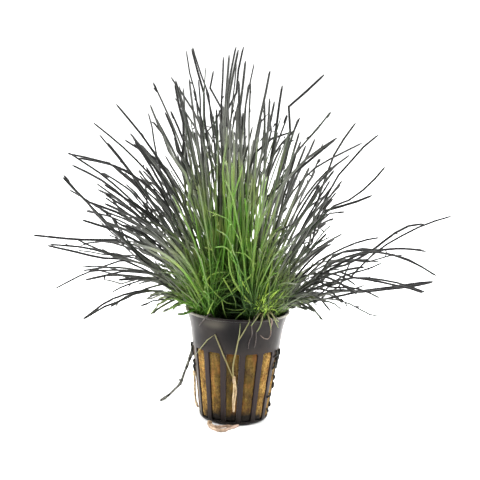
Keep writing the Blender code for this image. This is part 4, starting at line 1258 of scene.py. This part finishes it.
for name, value, low, high, start, end in (
        ("silted", settled.outputs["Value"], 0.60, 0.74, 0.0, 1.0),
        ("fresh", chance.outputs["Fac"], 0.13, 0.05, 0.0, 0.6),
        ("still young", older.outputs["Value"], 0.20, 0.07, 0.0, 1.0),
        ("yellowed", sunned.outputs["Fac"], 0.50, 0.64, 0.0, 0.5),
        ("not old", older.outputs["Value"], 0.34, 0.16, 0.0, 1.0),
        ("roughness", patches.outputs["Fac"], 0.3, 0.7, 0.42, 0.65)):
    shares[name] = add_node(tree, "MapRange", inputs={
        "Value": value, "From Min": low, "From Max": high, "To Min": start, "To Max": end}).outputs["Result"]
fresh_share = add_node(tree, "Math", {"operation": "MULTIPLY"}, {
    0: shares["fresh"], 1: shares["still young"]})
yellow_share = add_node(tree, "Math", {"operation": "MULTIPLY"}, {
    0: shares["yellowed"], 1: shares["not old"]})
skin = clean.outputs["Color"]
for share, over in ((shares["silted"], silted.outputs["Color"]),
                    (fresh_share.outputs["Value"], fresh_tint.outputs["Color"]),
                    (yellow_share.outputs["Value"], linear("7c8a3c")),
                    (deep.outputs["Fac"], linear("1d350b"))):
    skin = add_node(tree, "Mix", {"data_type": "RGBA"}, {0: share, 6: skin, 7: over}).outputs[2]
tree.links.new(skin, shader.inputs["Base Color"])
tree.links.new(shares["roughness"], shader.inputs["Roughness"])
skin_bump = add_node(tree, "Bump", inputs={
    "Height": patches.outputs["Fac"], "Strength": 0.3, "Distance": 0.1 * MM})
tree.links.new(skin_bump.outputs["Normal"], shader.inputs["Normal"])

# %% Dress all the tufts
total = sum(dress_tuft(tuft) for tuft in tuft_names)
print(f"{total} stems")

# %% [markdown]
# ## The loose plantlets and roots
# Hairgrass spreads by runners. One plantlet sits on the right of the rim with its roots over the edge,
# and another hangs down the front with a kinked leaf and a pale root. An old stem trails from a slot at
# the back to the surface, and a pinkish root loops out from under the foot. Their strands follow the
# packed lines. A leaf is a little flat, and a root is round and uneven. They use the age value in their
# own way: a leaf with a low age is dry brown and one with a high age is fresh green, and a root goes
# from cream at 0 through pink at a half to brown at 1.

# %% Leaf and root masters
leaf_outline = [(0.7, 0.0), (0.95, 0.08), (1.0, 0.2), (1.0, 0.35), (0.97, 0.5), (0.9, 0.65), (0.75, 0.8),
                (0.5, 0.92), (0.15, 1.0)]
leaf = as_master(draw_up("leaf", leaf_outline, 6))
ROOT_RINGS = 36
ROOT_TAPER = 0.22
# How high each set of bumps is, how many radians it runs through, and where it starts
ROOT_BUMPS = ((0.10, 23.0, 0.0), (0.07, 51.0, 1.0))
root_outline = [(0.75, 0.0)]
for ring in range(1, ROOT_RINGS):
    share = ring / ROOT_RINGS
    bumps = sum(high * math.sin(run * share + start) for high, run, start in ROOT_BUMPS)
    root_outline.append((1.0 - ROOT_TAPER * share + bumps, share))
root_outline.append((0.35, 1.0))
root = as_master(draw_up("root", root_outline, 7))


STRAND_AGEING = 0.25
STRAND_SIDE = np.array([0.1, 1.0, 0.2])


def strand_bundle(bundle, master, lines, width, flatten, age, shade=0.0):
    """Adds leaves or roots along their lines, with one width, one age at the foot and one share of shade."""
    count = len(lines)
    lines = np.array([smooth_line(line) for line in lines])
    sides = normalised(np.cross(lines[:, -1] - lines[:, 0], STRAND_SIDE))
    ages = np.full((count, LINE_POINTS), age) + np.linspace(0.0, STRAND_AGEING, LINE_POINTS)[None, :]
    bundle.add(master, lines, np.full(count, width), sides, ages, deep_along(lines) * shade,
               rng.random(count), flatten)


# %% Young leaf and root materials
LEAF_PATCH = 2.5 * MM
ROOT_PATCH = 2.0 * MM
OLD_ROOT_PATCH = 1.8 * MM

young_skin, tree, shader = new_material(
    "young_hairgrass_leaf", {"IOR": 1.42, "Roughness": 0.45, "Specular IOR Level": 0.4})
age = add_node(tree, "Attribute", {"attribute_name": "age"})
coords = add_node(tree, "TexCoord")
patches = add_node(tree, "TexNoise", inputs={
    "Vector": coords.outputs["Object"], "Scale": 1.0 / LEAF_PATCH, "Detail": 3.0})
mixed = add_node(tree, "Math", {"operation": "MULTIPLY_ADD"}, {
    0: patches.outputs["Fac"], 1: 0.2, 2: age.outputs["Fac"]})
leaf_tint = add_node(tree, "ValToRGB", inputs={"Fac": mixed.outputs["Value"]}, stops=[
    (0.05, "80642f"), (1.0, "73933f"), (0.22, "776a3d"), (0.34, "716b46"), (0.5, "6f764c"),
    (0.65, "93a854"), (0.8, "a4c04e")])
deep = add_node(tree, "Attribute", {"attribute_name": "deep"})
shaded = add_node(tree, "Mix", {"data_type": "RGBA"}, {
    0: deep.outputs["Fac"], 6: leaf_tint.outputs["Color"], 7: linear("1d350b")})
tree.links.new(shaded.outputs[2], shader.inputs["Base Color"])

pale_skin, tree, shader = new_material(
    "hairgrass_root_cream", {"IOR": 1.4, "Roughness": 0.45, "Specular IOR Level": 0.4})
age = add_node(tree, "Attribute", {"attribute_name": "age"})
coords = add_node(tree, "TexCoord")
patches = add_node(tree, "TexNoise", inputs={
    "Vector": coords.outputs["Object"], "Scale": 1.0 / ROOT_PATCH, "Detail": 4.0})
cream = add_node(tree, "ValToRGB", inputs={"Fac": patches.outputs["Fac"]}, stops=[
    (0.34, "87714c"), (0.66, "ccb890"), (0.5, "ab966f")])
pink = add_node(tree, "ValToRGB", inputs={"Fac": patches.outputs["Fac"]}, stops=[
    (0.3, "6f5a4b"), (0.7, "a88f7d"), (0.5, "8e7766")])
brown = add_node(tree, "ValToRGB", inputs={"Fac": patches.outputs["Fac"]}, stops=[
    (0.3, "2f2825"), (0.7, "57504a"), (0.5, "403834")])
past_cream = add_node(tree, "MapRange", inputs={
    "Value": age.outputs["Fac"], "From Min": 0.0, "From Max": 0.5, "To Min": 0.0, "To Max": 1.0})
past_pink = add_node(tree, "MapRange", inputs={
    "Value": age.outputs["Fac"], "From Min": 0.6, "From Max": 0.9, "To Min": 0.0, "To Max": 1.0})
cream_to_pink = add_node(tree, "Mix", {"data_type": "RGBA"}, {
    0: past_cream.outputs["Result"], 6: cream.outputs["Color"], 7: pink.outputs["Color"]})
root_tint = add_node(tree, "Mix", {"data_type": "RGBA"}, {
    0: past_pink.outputs["Result"], 6: cream_to_pink.outputs[2], 7: brown.outputs["Color"]})
tree.links.new(root_tint.outputs[2], shader.inputs["Base Color"])

dark_skin, tree, shader = new_material(
    "old_root_grey_brown", {"IOR": 1.4, "Roughness": 0.7, "Specular IOR Level": 0.3})
coords = add_node(tree, "TexCoord")
patches = add_node(tree, "TexNoise", inputs={
    "Vector": coords.outputs["Object"], "Scale": 1.0 / OLD_ROOT_PATCH, "Detail": 4.0})
old_tint = add_node(tree, "ValToRGB", inputs={"Fac": patches.outputs["Fac"]}, stops=[
    (0.36, "1d1d1a"), (0.66, "74746a")])
age = add_node(tree, "Attribute", {"attribute_name": "age"})
rotten = add_node(tree, "Mix", {"data_type": "RGBA"}, {
    0: age.outputs["Fac"], 6: old_tint.outputs["Color"], 7: linear("191917")})
tree.links.new(rotten.outputs[2], shader.inputs["Base Color"])
bark = add_node(tree, "Bump", inputs={
    "Height": patches.outputs["Fac"], "Strength": 0.5, "Distance": 0.2 * MM})
tree.links.new(bark.outputs["Normal"], shader.inputs["Normal"])

# %% Bright blades in front
bundle = Bundle()
for tip_depth, radius, pixels in FRONT_BLADES.values():
    line = [in_space(pixel, tip_depth * MM) for pixel in pixels][::-1]
    strand_bundle(bundle, leaf, [line], radius * MM, flatten=0.8, age=0.72, shade=0.65)
dress(bundle.to_piece("front_blades"), young_skin, "grass")
print(f"{len(FRONT_BLADES)} blades")

# %% Rim plantlet
LEAF_TIPS_FROM = 60.0 * MM
RIM_LEAF_RADIUS = 0.42 * MM
EXTRA_LEAF_RADIUS = 0.34 * MM
BENT_LEAF_RADIUS = 0.38 * MM
RIM_ROOT_RADIUS = 0.24 * MM
EXTRA_RIM_LEAVES = 24
EXTRA_LEAF_LENGTH_MM = (5.0, 13.0)
EXTRA_LEAF_HEADING = (-0.1, -0.85, 0.7)
EXTRA_LEAF_TURN = (1.0, 0.4, 0.6)
EXTRA_LEAF_ARCH_AT = 0.55
EXTRA_LEAF_START = 0.8 * MM
EXTRA_LEAF_STRAY = 1.6 * MM
LEAVES_FORWARD = np.array((0.0, -1.2, 0.8)) * MM
# Leaves that bend over the lip, as pixels of the picture with the depth behind the axis in millimetres
BENT_LEAVES = {
    "bent_left": ((262, 313, -18), (259.5, 313.5, -22.6), (256, 319, -26), (251, 326, -27)),
    "bent_middle": (
        (264, 313, -18), (263, 313.5, -22.5), (262, 320, -25.5), (259.5, 328, -26), (256.5, 332, -26)),
    "bent_right": ((268, 312, -17), (271, 312.5, -20), (274.5, 319, -20.5), (278.5, 328, -18)),
    "bent_far_right": ((266, 311, -17), (270, 312, -20), (275, 318.5, -20.5), (279, 322, -18.5)),
    "bent_inner": ((267, 311, -17), (268, 314, -22.5), (269.5, 322, -22), (271.3, 330.5, -21.5)),
}

rim_lines = strand_lines("rim_plantlet")
rim_leaves = [line for line in rim_lines if line[-1][2] > LEAF_TIPS_FROM]
rim_roots = [line for line in rim_lines if line[-1][2] <= LEAF_TIPS_FROM]
rim_crown = np.mean([line[0] for line in rim_lines], axis=0)
extra_leaves = []
while len(extra_leaves) < EXTRA_RIM_LEAVES:
    heading = normalised(rng.normal(0.0, 1.0, 3) * EXTRA_LEAF_TURN + EXTRA_LEAF_HEADING)
    length = rng.uniform(*EXTRA_LEAF_LENGTH_MM) * MM
    start = rim_crown + rng.normal(0.0, EXTRA_LEAF_START, 3) + LEAVES_FORWARD
    middle = start + heading * length * EXTRA_LEAF_ARCH_AT + np.array([0.0, 0.0, 1.0]) * MM
    tip = start + heading * length + rng.normal(0.0, EXTRA_LEAF_STRAY, 3)
    made = smooth_line([start, middle, tip])
    if made[:, 2].min() > POT_HEIGHT + LIP_ROOM:
        extra_leaves.append(made[::6])
bundle = Bundle()
bent = [[in_space(place[:2], place[2] * MM) for place in places] for places in BENT_LEAVES.values()]
for leaves, radius, age in ((rim_leaves, RIM_LEAF_RADIUS, 0.60), (extra_leaves, EXTRA_LEAF_RADIUS, 0.60),
                            (bent, BENT_LEAF_RADIUS, 0.20)):
    strand_bundle(bundle, leaf, leaves, radius, flatten=0.6, age=age)
dress(bundle.to_piece("rim_shoots"), young_skin, "young_leaf", "rim_plantlet")
bundle = Bundle()
curled = max(rim_roots, key=lambda line: length_of(line) / math.dist(line[0], line[-1]))
straighter = [line for line in rim_roots if line is not curled]
strand_bundle(bundle, root, straighter, RIM_ROOT_RADIUS, flatten=1.0, age=0.8)
strand_bundle(bundle, root, [curled], RIM_ROOT_RADIUS, flatten=1.0, age=0.60)
dress(bundle.to_piece("rim_shoot_roots"), pale_skin, "pale_root")
print(f"{len(rim_leaves) + EXTRA_RIM_LEAVES} rim leaves, {len(rim_roots)} rim roots")

# %% Hanging plantlet
JOIN_HEIGHT = 45.0 * MM
KINK_AT = 3
SHOOT_RADIUS = 0.36 * MM
KINKED_RADIUS = 0.33 * MM
ROOT_START = np.array((0.0, 0.0, 0.8)) * MM
ROOT_TWIST = 0.5 * MM
ROOT_HALF_TURNS = (-0.3, 0.45)
ROOT_OPENS = (0.15, 0.95)
ROOT_HALF_RADII = ((1.0, 0.54 * MM), (-1.0, 0.46 * MM))
BULB_RADIUS = 0.75 * MM
BULB_HALF_HEIGHT_MM = 1.9

hanging_lines = sorted(strand_lines("hanging_plantlet"), key=lambda line: line[-1][2])
hanging_root, kinked_line, upright_line, runner_line = hanging_lines
node_place = np.mean([line[0] for line in hanging_lines], axis=0)
joined = [point for point in upright_line[1:] if point[2] < JOIN_HEIGHT]
joined += [point for point in runner_line if point[2] > JOIN_HEIGHT]
shoots = [[tuple(node_place), *line] for line in (upright_line[1:], joined)]
bundle = Bundle()
strand_bundle(bundle, leaf, shoots, SHOOT_RADIUS, flatten=0.7, age=0.14)
kinked = through([tuple(node_place), *kinked_line[1:]], KINK_AT)
strand_bundle(bundle, leaf, [kinked], KINKED_RADIUS, flatten=0.7, age=0.14)
dress(bundle.to_piece("hanging_shoot"), young_skin, "young_leaf", "hanging_plantlet")

smooth_root = smooth_line([tuple(node_place + ROOT_START), *hanging_root[1:]])
turns = np.linspace(*ROOT_HALF_TURNS, LINE_POINTS) * math.pi
sideways = np.column_stack([np.cos(turns), np.sin(turns) * 0.3, np.zeros(LINE_POINTS)])
sideways *= np.sin(np.linspace(*ROOT_OPENS, LINE_POINTS) * math.pi)[:, None] * ROOT_TWIST
bundle = Bundle()
for side, radius in ROOT_HALF_RADII:
    strand_bundle(bundle, culm, [smooth_root + side * sideways], radius, flatten=1.0, age=0.0)
bulb = [node_place + np.array((0.0, 0.0, rise)) * MM for rise in (BULB_HALF_HEIGHT_MM, -BULB_HALF_HEIGHT_MM)]
strand_bundle(bundle, spikelet, [bulb], BULB_RADIUS, flatten=1.0, age=0.1)
dress(bundle.to_piece("hanging_root"), pale_skin, "pale_root")
print(f"{len(shoots) + 1} hanging leaves")

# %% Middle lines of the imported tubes
TUBE_SIDES = 6
PRESSED_ON = 0.9
BOW_POWER = 1.8


def tube_line(node, from_end):
    """The middle line of a packed tube, ring by ring, from its top if from_end is max."""
    mesh = bmesh.new()
    mesh.from_mesh(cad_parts[node].data)
    bmesh.ops.remove_doubles(mesh, verts=mesh.verts, dist=0.001 * MM)
    first = from_end(mesh.verts, key=lambda vert: vert.co.z)
    ring = sorted(mesh.verts, key=lambda vert: (vert.co - first.co).length)[:TUBE_SIDES]
    seen, middles = set(), []
    while ring:
        middles.append(tuple(sum((vert.co for vert in ring), Vector()) / len(ring)))
        seen.update(ring)
        ring = list({edge.other_vert(vert) for vert in ring for edge in vert.link_edges} - seen)
    mesh.free()
    return middles


def hug_wall(line, radius, bow):
    """Moves a line's points so that its ends lie against the pot's wall and its lower part bows out."""
    snug = []
    for index, (x, y, z) in enumerate(line):
        out = radius * PRESSED_ON + bow * math.sin(math.pi * (index / (len(line) - 1)) ** BOW_POWER)
        share = (wall_radius(z) + out) / math.hypot(x, y)
        snug.append((x * share, y * share, z))
    return snug


def dress_thread(name, node, line, radius, age, material, slot, extras=()):
    """One root as a smooth uneven strand along its packed tube, with any side strands beside it."""
    bundle = Bundle()
    strand_bundle(bundle, root, [line], radius, flatten=1.0, age=age)
    for places, width in extras:
        beside = [tuple(Vector(place) * MM) for place in places]
        strand_bundle(bundle, root, [beside], width, flatten=1.0, age=age)
    return dress(bundle.to_piece(name), material, slot, node)


# %% The old trailing stem, the root loop, and the two roots on the wall
TRAIL_STUB = ((-27.9, 21.4, 12.8), (-27.2, 20.6, 11.4), (-26.8, 19.8, 10.0))
TRAIL_TWIN = ((-20.6, 7.4, 36.0), (-20.9, 10.4, 31.4), (-21.8, 14.0, 26.6), (-23.4, 16.6, 22.4))
TRAIL_RADIUS = 0.85 * MM
TRAIL_STUB_RADIUS = 0.50 * MM
TRAIL_TWIN_RADIUS = 0.45 * MM
TRAIL_SHIFT = 1.0 * MM
TRAIL_SHIFT_HEIGHT = 20.0 * MM
LOOP_START = (-11.6, -13.4, 1.1)
LOOP_TWIN = ((-11.0, -14.2, 1.1), (-10.6, -18.6, 1.0), (-9.0, -21.6, 1.0), (-6.4, -21.4, 1.0),
             (-3.0, -20.1, 1.0), (-0.6, -19.8, 1.0))
LOOP_RADIUS = 0.92 * MM
LOOP_TWIN_RADIUS = 0.85 * MM
LOOP_LIFT = 1.12
LOOP_RINGS_LEFT_OUT = 3
WALL_ROOT_RADIUS = 0.72 * MM
WALL_ROOT_BOW = 0.7 * MM
THIN_ROOT_RADIUS = 0.26 * MM

trail_line = [(x + TRAIL_SHIFT * min(max(z / TRAIL_SHIFT_HEIGHT - 0.5, 0.0), 1.0), y, z)
              for x, y, z in tube_line("trailing_root", max)]
trail = dress_thread("trailing_stem", "trailing_root", trail_line, TRAIL_RADIUS, 0.0, dark_skin, "dark_root",
                     ((TRAIL_STUB, TRAIL_STUB_RADIUS), (TRAIL_TWIN, TRAIL_TWIN_RADIUS)))
loop_line = [tuple(Vector(LOOP_START) * MM), *tube_line("surface_root", max)[LOOP_RINGS_LEFT_OUT:]]
loop_line = [(x, y, max(z, LOOP_RADIUS * LOOP_LIFT)) for x, y, z in loop_line]
loop = dress_thread("foot_root_loop", "surface_root", loop_line, LOOP_RADIUS, 0.30, pale_skin, "pale_root",
                    ((LOOP_TWIN, LOOP_TWIN_RADIUS),))
wall_line = hug_wall(tube_line("side_root", max), WALL_ROOT_RADIUS, WALL_ROOT_BOW)
wall_root = dress_thread("wall_root", "side_root", wall_line, WALL_ROOT_RADIUS, 0.0, pale_skin, "pale_root")
thin_line = tube_line("rim_root", min)
thin_root = dress_thread("thin_rim_root", "rim_root", thin_line, THIN_ROOT_RADIUS, 1.0, pale_skin,
                         "pale_root")
for piece in (trail, loop, wall_root, thin_root):
    print(piece.name, len(piece.data.polygons), "faces")

# %% Bits of old root that poke out of the slots at the pot's sides
# Degrees round from the front to the right, millimetres up, and how long each bit is
OLD_BITS = ((64, 37, 5), (68, 35, 4), (73, 33, 6), (66, 31, 4), (76, 37, 5), (71, 29, 3), (79, 34, 5),
            (70, 24, 3), (75, 20, 4), (68, 15, 3), (73, 10, 4), (66, 7, 3), (-80, 38, 4), (-84, 35, 5),
            (-76, 30, 3), (-82, 27, 4))
OLD_BIT_RADIUS = 0.60 * MM
OLD_BIT_TURN = 9.0
bits = []
for degrees, height, length in OLD_BITS:
    places = []
    for share in (0.0, 0.5, 1.0):
        up = (height - share * length * rng.uniform(0.6, 1.0)) * MM
        angle = math.radians(degrees + share * rng.uniform(-OLD_BIT_TURN, OLD_BIT_TURN))
        reach = wall_radius(up) + (0.1 + 0.5 * math.sin(math.pi * (0.2 + 0.6 * share))) * MM
        places.append((reach * math.sin(angle), -reach * math.cos(angle), up))
    bits.append(places)
bundle = Bundle()
strand_bundle(bundle, shoot, bits, OLD_BIT_RADIUS, flatten=1.0, age=0.8)
dress(bundle.to_piece("old_root_bits"), dark_skin, "dark_root")
print(f"{len(bits)} bits of old root")
